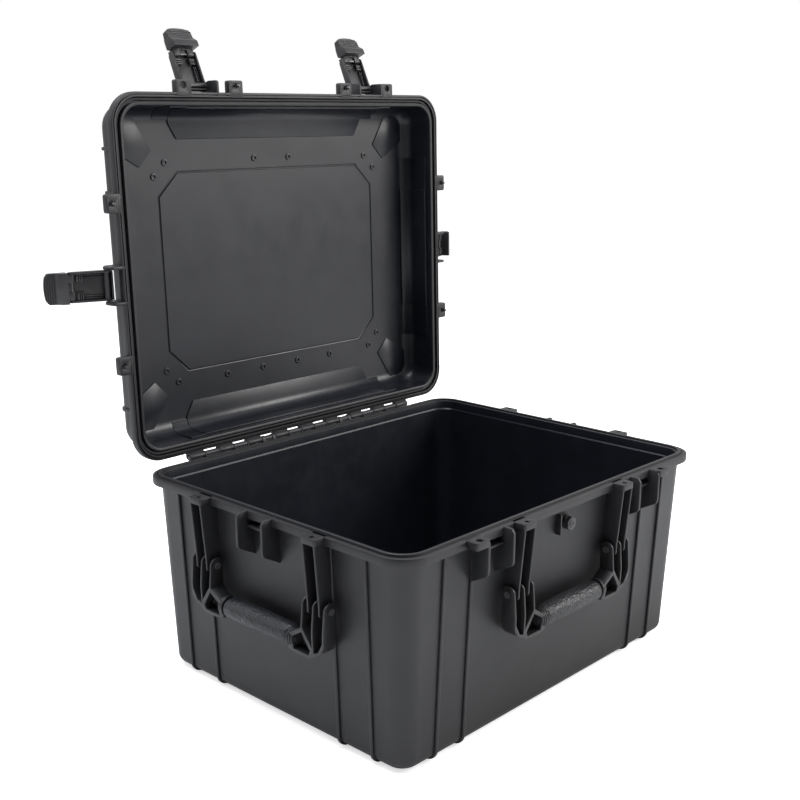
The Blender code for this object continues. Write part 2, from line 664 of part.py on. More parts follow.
def main():
    clear_scene()
    finishes = {
        "shell": make_material("moulded_polypropylene", (0.032, 0.032, 0.035), 0.55),
        "handle": make_material("glass_filled_nylon", (0.035, 0.035, 0.037), 0.50),
        "latch": make_material("moulded_nylon", (0.040, 0.041, 0.043), 0.48),
        "rubber": make_material("black_rubber", (0.030, 0.031, 0.034), 0.80),
        "fitting": make_material("moulded_valve_plastic", (0.045, 0.045, 0.048), 0.45),
        "steel": make_material("zinc_plated_steel", (0.45, 0.45, 0.46), 0.35, 1.0),
    }
    build_base(finishes)
    build_handles(finishes)
    build_lid(finishes)
    bpy.context.view_layer.update()


main()
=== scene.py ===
"""Visual model of a deep hard equipment case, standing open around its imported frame.

Metres, +Z up. The shells are drawn shut, as they leave the mould, and the lid is then
swung to the angle that its hinge joint gives. Latches and handles are drawn once about
their own pivots and copied onto each face of the case.
"""
import json
import logging
from collections.abc import Callable
from dataclasses import dataclass, field
from enum import Enum
from math import cos, pi, radians, sin

import bpy
from mathutils import Matrix, Vector


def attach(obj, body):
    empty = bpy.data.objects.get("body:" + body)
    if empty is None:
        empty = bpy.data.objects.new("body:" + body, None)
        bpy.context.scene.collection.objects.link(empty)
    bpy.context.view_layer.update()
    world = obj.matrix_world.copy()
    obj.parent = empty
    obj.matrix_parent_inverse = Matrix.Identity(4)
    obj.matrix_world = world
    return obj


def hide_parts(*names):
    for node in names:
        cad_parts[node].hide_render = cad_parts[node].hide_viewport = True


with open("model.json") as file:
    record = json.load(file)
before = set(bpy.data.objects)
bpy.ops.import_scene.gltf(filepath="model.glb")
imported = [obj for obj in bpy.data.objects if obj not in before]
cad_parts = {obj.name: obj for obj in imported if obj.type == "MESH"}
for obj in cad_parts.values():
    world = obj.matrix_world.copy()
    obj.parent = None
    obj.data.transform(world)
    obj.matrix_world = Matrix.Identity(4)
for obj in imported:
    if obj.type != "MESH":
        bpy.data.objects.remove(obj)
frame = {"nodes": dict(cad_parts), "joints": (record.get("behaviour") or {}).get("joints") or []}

LOG = logging.getLogger("equipment_case")
MM = 0.001

Outline = list[tuple[float, float]]
Loop = list[tuple[float, float, float]]
Piece = bpy.types.Object


class Face(Enum):
    """Side of the case, with its turn about Z from the front."""

    FRONT = 0.0
    RIGHT = 90.0
    BACK = 180.0
    LEFT = -90.0


class Axis(Enum):
    """Axis that a flat outline is thickened along; the outline holds the other two."""

    X = (2, 0, 1)
    Y = (0, 2, 1)
    Z = (0, 1, 2)

    def point(self, u: float, v: float, w: float) -> tuple[float, float, float]:
        """Put outline coordinates u, v and depth w into X, Y, Z order."""
        x, y, z = ((u, v, w)[k] for k in self.value)
        return x, y, z


# ---- workshop: how pieces are cut, softened and joined --------------------------------
def take(*pieces: Piece) -> None:
    """Select these objects alone and make the first one active."""
    bpy.ops.object.select_all(action="DESELECT")
    for piece in pieces:
        piece.select_set(True)
    bpy.context.view_layer.objects.active = pieces[0]


def arc(centre: tuple[float, float], radius: float, start: float, end: float,
        steps: int) -> Outline:
    """Points of an arc.

    Args:
        centre: middle of the arc.
        radius: its radius.
        start: first angle in degrees.
        end: last angle in degrees.
        steps: number of chords.

    Returns:
        steps + 1 points, in order.
    """
    angles = [radians(start + (end - start) * k / steps) for k in range(steps + 1)]
    return [(centre[0] + radius * cos(a), centre[1] + radius * sin(a)) for a in angles]


def block(low: tuple[float, float, float], high: tuple[float, float, float]) -> Piece:
    """Add a box between two corners, with its place in its mesh."""
    centre = [(a + b) / 2 for a, b in zip(low, high)]
    size = [b - a for a, b in zip(low, high)]
    bpy.ops.object.select_all(action="DESELECT")
    bpy.ops.mesh.primitive_cube_add(size=1.0, location=centre, scale=size)
    bpy.ops.object.transform_apply(location=True, rotation=True, scale=True)
    return bpy.context.object


def bar(axis: Axis, centre: tuple[float, float, float], radius: float, length: float,
        sides: int = 24) -> Piece:
    """Add a round bar.

    Args:
        axis: the axis it lies along.
        centre: its middle.
        radius: its radius.
        length: its whole length.
        sides: facets round it.

    Returns:
        The new object, its place in its mesh.
    """
    turn = {Axis.X: (0.0, pi / 2, 0.0), Axis.Y: (pi / 2, 0.0, 0.0), Axis.Z: (0.0, 0.0, 0.0)}
    bpy.ops.object.select_all(action="DESELECT")
    bpy.ops.mesh.primitive_cylinder_add(vertices=sides, radius=radius, depth=length,
                                        location=centre, rotation=turn[axis])
    bpy.ops.object.transform_apply(location=True, rotation=True, scale=True)
    return bpy.context.object


def slab(outline: Outline, axis: Axis, low: float, high: float) -> Piece:
    """Thicken a flat outline along an axis.

    Args:
        outline: points of the two axes left over, in X, Y, Z order.
        axis: the direction of the thickness.
        low: where the thickness starts.
        high: where it ends.

    Returns:
        A closed slab with its faces outwards.
    """
    bpy.ops.object.select_all(action="DESELECT")
    bpy.ops.mesh.primitive_circle_add(vertices=len(outline), radius=1.0, fill_type="NGON")
    piece = bpy.context.object
    for vertex, (u, v) in zip(piece.data.vertices, outline):
        vertex.co = axis.point(u, v, low)
    bpy.ops.object.mode_set(mode="EDIT")
    bpy.ops.mesh.select_all(action="SELECT")
    step = axis.point(0.0, 0.0, high - low)
    bpy.ops.mesh.extrude_region_move(TRANSFORM_OT_translate={"value": step})
    bpy.ops.mesh.select_all(action="SELECT")
    bpy.ops.mesh.normals_make_consistent(inside=False)
    bpy.ops.object.mode_set(mode="OBJECT")
    return piece


def skin(loops: list[Loop], cyclic: bool = False) -> Piece:
    """Skin through loops of equal count, which no primitive gives with true corner radii.

    Args:
        loops: rings of points, each in the same order.
        cyclic: join the last ring to the first instead of capping both.

    Returns:
        A closed shell with its faces outwards.
    """
    count = len(loops[0])
    points = [p for loop in loops for p in loop]
    rings = len(loops)
    faces: list[tuple[int, ...]] = []
    for r in range(rings if cyclic else rings - 1):
        near, far = r * count, (r + 1) % rings * count
        for k in range(count):
            after = (k + 1) % count
            faces.append((near + k, near + after, far + after, far + k))
    if not cyclic:
        faces.append(tuple(range(count)))
        faces.append(tuple(range((rings - 1) * count, rings * count)))
    mesh = bpy.data.meshes.new("skin")
    mesh.from_pydata(points, [], faces)
    piece = bpy.data.objects.new("skin", mesh)
    bpy.context.scene.collection.objects.link(piece)
    take(piece)
    bpy.ops.object.mode_set(mode="EDIT")
    bpy.ops.mesh.select_all(action="SELECT")
    bpy.ops.mesh.normals_make_consistent(inside=False)
    bpy.ops.object.mode_set(mode="OBJECT")
    return piece


def combine(piece: Piece, tools: list[Piece], how: str) -> Piece:
    """Cut, join or intersect a piece with tools, which are used up.

    Args:
        piece: the piece to change.
        tools: closed objects.
        how: DIFFERENCE, UNION or INTERSECT.

    Returns:
        The changed piece.
    """
    for tool in tools:
        modifier = piece.modifiers.new("combine", "BOOLEAN")
        modifier.operation = how
        modifier.solver = "EXACT"
        modifier.object = tool
        take(piece)
        bpy.ops.object.modifier_apply(modifier="combine")
        bpy.data.objects.remove(tool, do_unlink=True)
    return piece


def soften(piece: Piece, width: float, segments: int = 2, angle: float = 30.0) -> Piece:
    """Round the edges sharper than an angle, as a mould does, and shade it smooth."""
    modifier = piece.modifiers.new("edges", "BEVEL")
    modifier.width = width
    modifier.segments = segments
    modifier.limit_method = "ANGLE"
    modifier.angle_limit = radians(angle)
    take(piece)
    bpy.ops.object.modifier_apply(modifier="edges")
    bpy.ops.object.shade_smooth_by_angle(angle=radians(32.0))
    return piece


def join(name: str, pieces: list[Piece], smooth: float = 32.0) -> Piece:
    """Join shapes into one named piece at the origin, shaded smooth up to an angle."""
    take(*pieces)
    if len(pieces) > 1:
        bpy.ops.object.join()
    piece = bpy.context.view_layer.objects.active
    bpy.ops.object.shade_smooth_by_angle(angle=radians(smooth))
    piece.name = name
    piece.data.name = name
    return piece


def copy_of(piece: Piece, name: str, place: Matrix) -> Piece:
    """Copy a finished piece, its own mesh too, and set it at a place."""
    twin = bpy.data.objects.new(name, piece.data.copy())
    bpy.context.scene.collection.objects.link(twin)
    twin.data.transform(place)
    return twin


def scrap(*pieces: Piece) -> None:
    """Remove the patterns that copies were made from."""
    for piece in pieces:
        bpy.data.objects.remove(piece, do_unlink=True)


def moved(piece: Piece, place: Matrix) -> Piece:
    """Move a piece's mesh, so that its object stays at the origin."""
    piece.data.transform(place)
    return piece


# ---- finishes -------------------------------------------------------------------------
def linear(code: str) -> tuple[float, float, float, float]:
    """Turn an sRGB hex code such as '#3C3D40' into linear RGBA."""
    values = [int(code[k:k + 2], 16) / 255 for k in (1, 3, 5)]
    curve = [v / 12.92 if v <= 0.04045 else ((v + 0.055) / 1.055) ** 2.4 for v in values]
    return curve[0], curve[1], curve[2], 1.0


def add_node(tree: bpy.types.NodeTree, kind: str, settings: dict | None = None,
             values: dict | None = None, links: dict | None = None) -> bpy.types.Node:
    """Add a shader node.

    Args:
        tree: the material's node tree.
        kind: the node's type name.
        settings: its properties.
        values: constants by input name or index.
        links: sockets that feed an input, by input name or index.

    Returns:
        The new node.
    """
    node = tree.nodes.new(kind)
    for key, value in (settings or {}).items():
        setattr(node, key, value)
    for key, value in (values or {}).items():
        node.inputs[key].default_value = value
    for key, socket in (links or {}).items():
        tree.links.new(socket, node.inputs[key])
    return node


@dataclass(frozen=True)
class Finish:
    """A moulded or turned surface: colour with drift, grain, and convex edges paled as rubbing and
    as a painted edge highlight.

    Sizes are in metres; grain_size is the distance between neighbouring bumps.
    """

    name: str
    colour: str
    drift: str
    # paler colour of convex edges: rubbed plastic and a painted edge highlight
    edge_rub_and_highlight: str
    roughness: tuple[float, float]
    grain_size: float
    grain_depth: float
    metallic: float = 0.0
    ior: float = 1.49
    drift_size: float = 0.12
    # how far convex edges are paled, as rubbing and as a painted edge highlight
    rub_and_highlight_strength: float = 0.35
    sheen: float = 0.0
    coarse_grain: bool = False

    def material(self) -> bpy.types.Material:
        """Build the finish's material on Object coordinates."""
        material = bpy.data.materials.new(self.name)
        material.use_nodes = True
        tree = material.node_tree
        shader = tree.nodes["Principled BSDF"]
        shader.inputs["Metallic"].default_value = self.metallic
        if not self.metallic:
            shader.inputs["IOR"].default_value = self.ior
        shader.inputs["Sheen Weight"].default_value = self.sheen
        shader.inputs["Sheen Roughness"].default_value = 0.5
        where = add_node(tree, "ShaderNodeTexCoord").outputs["Object"]
        tree.links.new(self._colour(tree, where), shader.inputs["Base Color"])
        tree.links.new(self._roughness(tree, where), shader.inputs["Roughness"])
        tree.links.new(self._grain(tree, where), shader.inputs["Normal"])
        return material

    def _colour(self, tree: bpy.types.NodeTree,
                where: bpy.types.NodeSocket) -> bpy.types.NodeSocket:
        """Flow-mark colour drift, paler on convex edges, where rubbing and a painted edge highlight
        are drawn.
        """
        clouds = add_node(tree, "ShaderNodeTexNoise", {},
                          {"Scale": 1.0 / self.drift_size, "Detail": 4.0, "Roughness": 0.55},
                          {"Vector": where})
        spread = add_node(tree, "ShaderNodeMapRange", {},
                          {"From Min": 0.35, "From Max": 0.65}, {"Value": clouds.outputs["Fac"]})
        body = add_node(tree, "ShaderNodeMix", {"data_type": "RGBA"},
                        {6: linear(self.colour), 7: linear(self.drift)},
                        {0: spread.outputs["Result"]})
        # convex edges paled: real rubbing and a painted edge highlight
        edge = self._rubbed_and_lit_edges(tree, where)
        return add_node(tree, "ShaderNodeMix", {"data_type": "RGBA"}, {7: linear(self.edge_rub_and_highlight)},
                        {0: edge, 6: body.outputs[2]}).outputs[2]

    def _rubbed_and_lit_edges(self, tree: bpy.types.NodeTree,
              where: bpy.types.NodeSocket) -> bpy.types.NodeSocket:
        """Mask of convex edges for rubbing and a painted edge highlight, broken up so that it is
        uneven.
        """
        point = add_node(tree, "ShaderNodeNewGeometry").outputs["Pointiness"]
        ridge = add_node(tree, "ShaderNodeMapRange", {},
                         {"From Min": 0.52, "From Max": 0.62, "To Max": self.rub_and_highlight_strength},
                         {"Value": point})
        patch = add_node(tree, "ShaderNodeTexNoise", {}, {"Scale": 90.0, "Detail": 3.0},
                         {"Vector": where})
        return add_node(tree, "ShaderNodeMath", {"operation": "MULTIPLY"}, {},
                        {0: ridge.outputs["Result"], 1: patch.outputs["Fac"]}).outputs[0]

    def _roughness(self, tree: bpy.types.NodeTree,
                   where: bpy.types.NodeSocket) -> bpy.types.NodeSocket:
        """Gloss that drifts slowly, with a finer handled mottle over it."""
        mottle = add_node(tree, "ShaderNodeTexNoise", {},
                          {"Scale": 26.0, "Detail": 6.0, "Roughness": 0.65}, {"Vector": where})
        return add_node(tree, "ShaderNodeMapRange", {},
                        {"From Min": 0.3, "From Max": 0.7, "To Min": self.roughness[0],
                         "To Max": self.roughness[1]},
                        {"Value": mottle.outputs["Fac"]}).outputs["Result"]

    def _grain(self, tree: bpy.types.NodeTree,
               where: bpy.types.NodeSocket) -> bpy.types.NodeSocket:
        """Spark-eroded mould grain, or the pebbled cells of a coarse grip."""
        if self.coarse_grain:
            cells = add_node(tree, "ShaderNodeTexVoronoi", {"feature": "SMOOTH_F1"},
                             {"Scale": 1.0 / self.grain_size, "Smoothness": 0.6},
                             {"Vector": where})
            height = cells.outputs["Distance"]
        else:
            height = add_node(tree, "ShaderNodeTexNoise", {},
                              {"Scale": 1.0 / self.grain_size, "Detail": 3.0},
                              {"Vector": where}).outputs["Fac"]
        return add_node(tree, "ShaderNodeBump", {},
                        {"Strength": 0.8, "Distance": self.grain_depth},
                        {"Height": height}).outputs["Normal"]


@dataclass(frozen=True)
class Finishes:
    """The finishes of the case: one for each real material, and the shell resin again for the
    inside, drawn darker and bluer as painted shade and painted cool light.
    """

    # Polypropylene copolymer with a fine spark grain: soft broad highlights, charcoal.
    shell: Finish = Finish("moulded_polypropylene", "#1B1B1E", "#212124", "#4C4C51",
                           (0.44, 0.49), 1.3 * MM, 0.10 * MM)
    # The same resin against a polished core: smoother and a little glossier inside; its darker,
    # bluer colour is painted shade and painted cool light.
    lining_with_painted_shade: Finish = Finish("polished_polypropylene_painted_shade", "#17191F", "#1D1F26", "#3A3C44",
                            (0.29, 0.40), 2.5 * MM, 0.03 * MM, drift_size=0.05, rub_and_highlight_strength=0.2)
    # Glass-filled nylon: a touch harder and browner than the shell.
    handle: Finish = Finish("glass_filled_nylon", "#1C1C1E", "#232325", "#505054",
                            (0.34, 0.46), 1.0 * MM, 0.06 * MM, ior=1.53)
    # Nylon latch mouldings, slightly paler from handling.
    latch: Finish = Finish("moulded_nylon", "#232325", "#2B2B2D", "#606063",
                           (0.32, 0.44), 0.9 * MM, 0.05 * MM, ior=1.53, rub_and_highlight_strength=0.5)
    # Thermoplastic rubber with a pebbled grip grain; the real 1.5 mm cells are too fine to
    # show, so they are drawn 3 mm wide, and the skin has a slight oily gloss.
    grip: Finish = Finish("thermoplastic_rubber", "#191A1E", "#222328", "#3C3D44",
                          (0.32, 0.50), 3.0 * MM, 1.1 * MM, sheen=0.02, coarse_grain=True,
                          drift_size=0.02)
    # Closed-cell EPDM seal: dull and dark.
    seal: Finish = Finish("epdm_rubber", "#2A2B2F", "#343539", "#45464A",
                          (0.60, 0.78), 0.8 * MM, 0.08 * MM)
    # Zinc-plated steel pins with fine turning marks.
    steel: Finish = Finish("zinc_plated_steel", "#8C8C8E", "#77777A", "#C4C4C6",
                           (0.24, 0.42), 0.5 * MM, 0.01 * MM, metallic=1.0, drift_size=0.01)
    # Blackened steel rivet heads of the handles.
    dark_steel: Finish = Finish("blackened_steel", "#3A3A3D", "#2C2C2F", "#9A9A9C",
                                (0.30, 0.46), 0.5 * MM, 0.02 * MM, metallic=0.8,
                                drift_size=0.01, rub_and_highlight_strength=0.8)


def dress(piece: Piece, material: bpy.types.Material) -> None:
    """Give a piece one material on every face."""
    piece.data.materials.clear()
    piece.data.materials.append(material)


def line(piece: Piece, material: bpy.types.Material,
         inside: Callable[[Vector], bool]) -> None:
    """Give the inner faces of a dressed shell a second material.

    Args:
        piece: the shell, drawn shut.
        material: the material of its inside.
        inside: says whether a face's middle lies within the wall.
    """
    piece.data.materials.append(material)
    for face in piece.data.polygons:
        centre, normal = face.center, face.normal
        if normal.x * centre.x + normal.y * centre.y < 0.002 and inside(centre):
            face.material_index = 1


# ---- shared sizes ---------------------------------------------------------------------
@dataclass(frozen=True)
class CaseSizes:
    """Sizes that both shells share, measured on the shut case."""

    half_length: float = 0.317
    half_width: float = 0.250
    parting: float = 0.286
    band: float = 0.0115
    seam: float = 0.0004
    wall_inset: float = 0.011
    wall: float = 0.005
    corner: float = 0.041
    corner_shrink: float = 0.75
    least_corner: float = 0.012
    corner_steps: int = 12
    lug_out: float = 0.0165
    pin_out: float = 0.0092
    handle_span: float = 0.108
    fin_offset: float = 0.0238
    fin_thick: float = 0.004
    latch_along: float = 0.1635
    eye_along: float = 0.199
    rib_width: float = 0.005
    rib_proud: float = 0.003
    front_ribs: tuple[float, ...] = (-0.238, -0.187, 0.187, 0.238)
    side_ribs: tuple[float, ...] = (-0.178, -0.120, 0.120, 0.178)
    knuckle_pitch: float = 0.054
    knuckle_width: float = 0.0262
    hinge_y: float = 0.2565
    hinge_z: float = 0.288

    def rim_loop(self, inset: float, z: float) -> Loop:
        """Rounded rectangle at an inset from the flange's outer face, at a height."""
        radius = max(self.corner - self.corner_shrink * inset, self.least_corner)
        half = (self.half_length - inset - radius, self.half_width - inset - radius)
        loop: Loop = []
        for quarter, (sx, sy) in enumerate(((1, 1), (-1, 1), (-1, -1), (1, -1))):
            centre = (sx * half[0], sy * half[1])
            turn = arc(centre, radius, quarter * 90, quarter * 90 + 90, self.corner_steps)
            loop += [(x, y, z) for x, y in turn]
        return loop

    def inset(self, spot: Vector) -> float:
        """How far a point lies in from the nearer flange face."""
        return min(self.half_length - abs(spot.x), self.half_width - abs(spot.y))

    def place(self, face: Face, along: float = 0.0, out: float = 0.0,
              z: float = 0.0) -> Matrix:
        """Matrix from a drawing with x along and -y outward onto a face of the flange."""
        half = self.half_width if face in (Face.FRONT, Face.BACK) else self.half_length
        shift = Matrix.Translation((along, -(half + out), z))
        return Matrix.Rotation(radians(face.value), 4, "Z") @ shift

    def latch_places(self) -> dict[str, tuple[Face, float]]:
        """Face and place along it of each latch, by name."""
        return {"front_left": (Face.FRONT, -self.latch_along),
                "front_right": (Face.FRONT, self.latch_along),
                "left": (Face.LEFT, 0.0), "right": (Face.RIGHT, 0.0)}


HANDLE_FACES = {"front": Face.FRONT, "left": Face.LEFT, "right": Face.RIGHT}


def side_slab(outline: Outline, low: float, high: float) -> Piece:
    """Slab across X from an outline of (outward, height) points."""
    return slab([(-out, z) for out, z in outline], Axis.X, low, high)


def drilled_lug(half: float, out: float, low: float, high: float, hole: float,
                hole_out: float) -> Piece:
    """Block that stands out from the flange, its nose rounded, with a vertical hole.

    Args:
        half: half its width along the face.
        out: how far its nose stands out.
        low: its lowest height.
        high: its highest height.
        hole: radius of the hole.
        hole_out: how far out the hole is.

    Returns:
        The softened lug.
    """
    nose = 0.003
    plan = [(-half, 0.006), (half, 0.006)]
    plan += [(x, -y) for x, y in arc((half - nose, out - nose), nose, 0, 90, 4)]
    plan += [(x, -y) for x, y in arc((-half + nose, out - nose), nose, 90, 180, 4)]
    lug = slab(plan, Axis.Z, low, high)
    drill = bar(Axis.Z, (0.0, -hole_out, (low + high) / 2), hole, 4 * (high - low), 28)
    return soften(combine(lug, [drill], "DIFFERENCE"), 0.0006)


# ---- base -----------------------------------------------------------------------------
@dataclass
class BaseShell:
    """Deep lower half: drafted walls, ribs, rim with tongue, brackets and fins."""

    sizes: CaseSizes
    draft: float = 0.0104
    underside: float = 0.003
    foot_radius: float = 0.014
    floor_radius: float = 0.012
    tongue: tuple[float, float] = (0.0076, 0.0124)
    tongue_high: float = 0.0026
    eye_radius: float = 0.0045
    catch: tuple[float, float] = (0.2640, 0.2668)
    parts: list[Piece] = field(default_factory=list)

    def walls(self) -> None:
        """Skin the tub from the underside, over the rim, down to the floor."""
        s = self.sizes
        foot = s.wall_inset + self.draft
        top, band = s.parting, s.parting - s.band
        near, far = self.tongue
        profile = arc((foot + self.foot_radius, self.underside + self.foot_radius),
                      self.foot_radius, 270, 180, 8)
        profile += [(s.wall_inset + 0.0002, band - 0.0034), (s.wall_inset - 0.0008, band - 0.0016),
                    (s.wall_inset - 0.0030, band - 0.0003), (0.0014, band), (0.0004, band + 0.0004),
                    (0.0, band + 0.0014), (0.0, top - 0.0016), (0.0005, top - 0.0004),
                    (0.0016, top), (0.0054, top), (0.0058, top - 0.0012),
                    (near - 0.0004, top - 0.0012),
                    (near, top), (near + 0.0003, top + self.tongue_high - 0.0004),
                    (near + 0.0008, top + self.tongue_high),
                    (far - 0.0008, top + self.tongue_high),
                    (far - 0.0003, top + self.tongue_high - 0.0004), (far, top),
                    (0.0140, top - 0.0002), (0.0150, top - 0.0010), (0.0153, top - 0.0022),
                    (0.0158, top - 0.0130), (0.0172, top - 0.0150)]
        inner_foot = foot + s.wall
        profile += arc((inner_foot + self.floor_radius,
                        self.underside + s.wall + self.floor_radius),
                       self.floor_radius, 180, 270, 7)
        self.parts.append(skin([s.rim_loop(inset, z) for inset, z in profile]))

    def wrap_rib(self, half: float) -> Outline:
        """Outline of a rib that runs down a wall, under the case and up the far wall."""
        s = self.sizes
        top, bury = s.parting - s.band - 0.0005, 0.002
        foot = s.wall_inset + self.draft
        bend = self.foot_radius + s.rib_proud
        outer = [(half - s.wall_inset + s.rib_proud, top)]
        outer += arc((half - foot - self.foot_radius, bend), bend, 0, -90, 8)
        inner = [(half - s.wall_inset - bury, top)]
        inner += arc((half - foot - self.foot_radius, self.underside + self.foot_radius),
                     self.foot_radius - bury, 0, -90, 8)
        mirrored = [(-u, z) for u, z in reversed(outer)]
        return outer + mirrored + [(-u, z) for u, z in inner] + inner[::-1]

    def hook_rib(self, half: float, sign: int) -> Outline:
        """Outline of a rib that runs down an end wall and a short way under it."""
        s = self.sizes
        top, bury, tail = s.parting - s.band - 0.0005, 0.002, 0.016
        foot = s.wall_inset + self.draft
        bend = self.foot_radius + s.rib_proud
        outer = [(half - s.wall_inset + s.rib_proud, top)]
        outer += arc((half - foot - self.foot_radius, bend), bend, 0, -90, 8)
        end = half - foot - self.foot_radius - tail
        inner = [(half - s.wall_inset - bury, top)]
        inner += arc((half - foot - self.foot_radius, self.underside + self.foot_radius),
                     self.foot_radius - bury, 0, -90, 8)
        whole = outer + [(end, 0.0008), (end, self.underside + bury)] + inner[::-1]
        return [(sign * u, z) for u, z in whole]

    def ribs(self) -> None:
        """Round-backed ribs on all four walls."""
        s = self.sizes
        half = s.rib_width / 2
        for x in s.front_ribs:
            rib = slab(self.wrap_rib(s.half_width), Axis.X, x - half, x + half)
            self.parts.append(soften(rib, 0.0014, 3))
        for y in s.side_ribs:
            for sign in (-1, 1):
                rib = slab(self.hook_rib(s.half_length, sign), Axis.Y, y - half, y + half)
                self.parts.append(soften(rib, 0.0014, 3))

    def fins(self) -> None:
        """Guard fins either side of each latch, and the bar its lever hooks under."""
        s = self.sizes
        top = s.parting - 0.0003
        outline = [(-0.0130, top), (0.0110, top), (0.0150, top - 0.0045), (0.0155, top - 0.0070)]
        outline += arc((0.0070, 0.2440), 0.0085, 0, -58, 6) + [(-0.0130, 0.2240)]
        for face, along in s.latch_places().values():
            for side in (-1, 1):
                centre = side * s.fin_offset
                fin = side_slab(outline, centre - s.fin_thick / 2, centre + s.fin_thick / 2)
                self.parts.append(moved(soften(fin, 0.0008), s.place(face, along)))
            low, high = self.catch
            catch = side_slab([(-0.0135, low), (0.0010, low), (0.0010, high), (-0.0135, high)],
                              -s.fin_offset, s.fin_offset)
            self.parts.append(moved(soften(catch, 0.0005), s.place(face, along)))

    def brackets(self) -> None:
        """Cap and two tapering plates for each handle arm."""
        s = self.sizes
        plate_at, plate_thick, cap_deep = 0.010, 0.003, 0.0085
        outline = [(-0.0130, s.parting - 0.003), (0.0160, s.parting - 0.003), (0.0088, 0.1990)]
        outline += arc((0.0036, 0.1890), 0.0052, 15, -80, 5) + [(-0.0150, 0.1810)]
        for face in HANDLE_FACES.values():
            for side in (-1, 1):
                spot = s.place(face, side * s.handle_span)
                cap = drilled_lug(plate_at + plate_thick / 2 + 0.001, s.lug_out,
                                  s.parting - cap_deep, s.parting, 0.0032, s.pin_out)
                self.parts.append(moved(cap, spot))
                for offset in (-plate_at, plate_at):
                    plate = side_slab(outline, offset - plate_thick / 2,
                                      offset + plate_thick / 2)
                    self.parts.append(moved(soften(plate, 0.0009, 3), spot))

    def padlock_lugs(self) -> None:
        """Eyes beside the front latches, joined to the outer fin by their side."""
        s = self.sizes
        for sign in (-1, 1):
            lug = drilled_lug(0.012, s.lug_out, s.parting - 0.0095, s.parting,
                              self.eye_radius, s.pin_out)
            self.parts.append(moved(lug, s.place(Face.FRONT, sign * s.eye_along)))

    def knuckles(self) -> None:
        """Hinge knuckles: a slim barrel between two round ears, on a web."""
        s = self.sizes
        edge = s.half_width - 0.0015
        half = s.knuckle_width / 2
        ear_radius, core = 0.0050, 0.0042
        ear = arc((s.hinge_y, s.hinge_z), ear_radius, -80, 180, 12)
        ear += [(edge, s.parting - 0.0008), (edge, s.parting - 0.0105)]
        web = [(edge, s.parting - 0.0008), (edge, s.parting - 0.0105),
               (s.hinge_y, s.parting - 0.0078), (s.hinge_y + 0.0030, s.hinge_z - 0.0020),
               (s.hinge_y, s.hinge_z)]
        for k in range(-4, 4):
            centre = (k + 0.5) * s.knuckle_pitch
            ear_thick = 0.0062 if k in (-2, 1) else 0.0016
            barrel = bar(Axis.X, (centre, s.hinge_y, s.hinge_z), core, 2 * half - 0.001, 24)
            self.parts.append(barrel)
            self.parts.append(soften(slab(web, Axis.X, centre - half, centre + half), 0.0004))
            for low in (centre - half, centre + half - ear_thick):
                self.parts.append(soften(slab(ear, Axis.X, low, low + ear_thick), 0.0004))

    def valve_guard(self) -> None:
        """Low L-shaped rib that shields the purge valve from knocks."""
        s = self.sizes
        upright = block((-0.0170, 0.004, 0.2400), (-0.0145, 0.0165, 0.2680))
        foot = block((-0.0170, 0.005, 0.2400), (-0.0105, 0.0165, 0.2420))
        for shape in (upright, foot):
            self.parts.append(moved(soften(shape, 0.0005), s.place(Face.FRONT)))

    def within(self, spot: Vector) -> bool:
        """Say whether a point is on the cavity's side of the wall."""
        s = self.sizes
        lean = self.draft * (1 - spot.z / (s.parting - s.band))
        deep = s.inset(spot) > s.wall_inset + lean + s.wall / 2
        return deep and self.underside + s.wall - 0.002 < spot.z < s.parting - 0.0015

    def build(self, finish: Finish, lining_with_painted_shade: Finish) -> Piece:
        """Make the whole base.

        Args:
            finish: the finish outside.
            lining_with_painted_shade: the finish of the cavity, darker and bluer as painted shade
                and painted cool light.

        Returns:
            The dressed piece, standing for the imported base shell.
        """
        self.walls()
        self.ribs()
        self.fins()
        self.brackets()
        self.padlock_lugs()
        self.knuckles()
        self.valve_guard()
        piece = join("case_base", self.parts)
        dress(piece, finish.material())
        line(piece, lining_with_painted_shade.material(), self.within)
        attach(piece, "base")
        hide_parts("base_shell")
        return piece


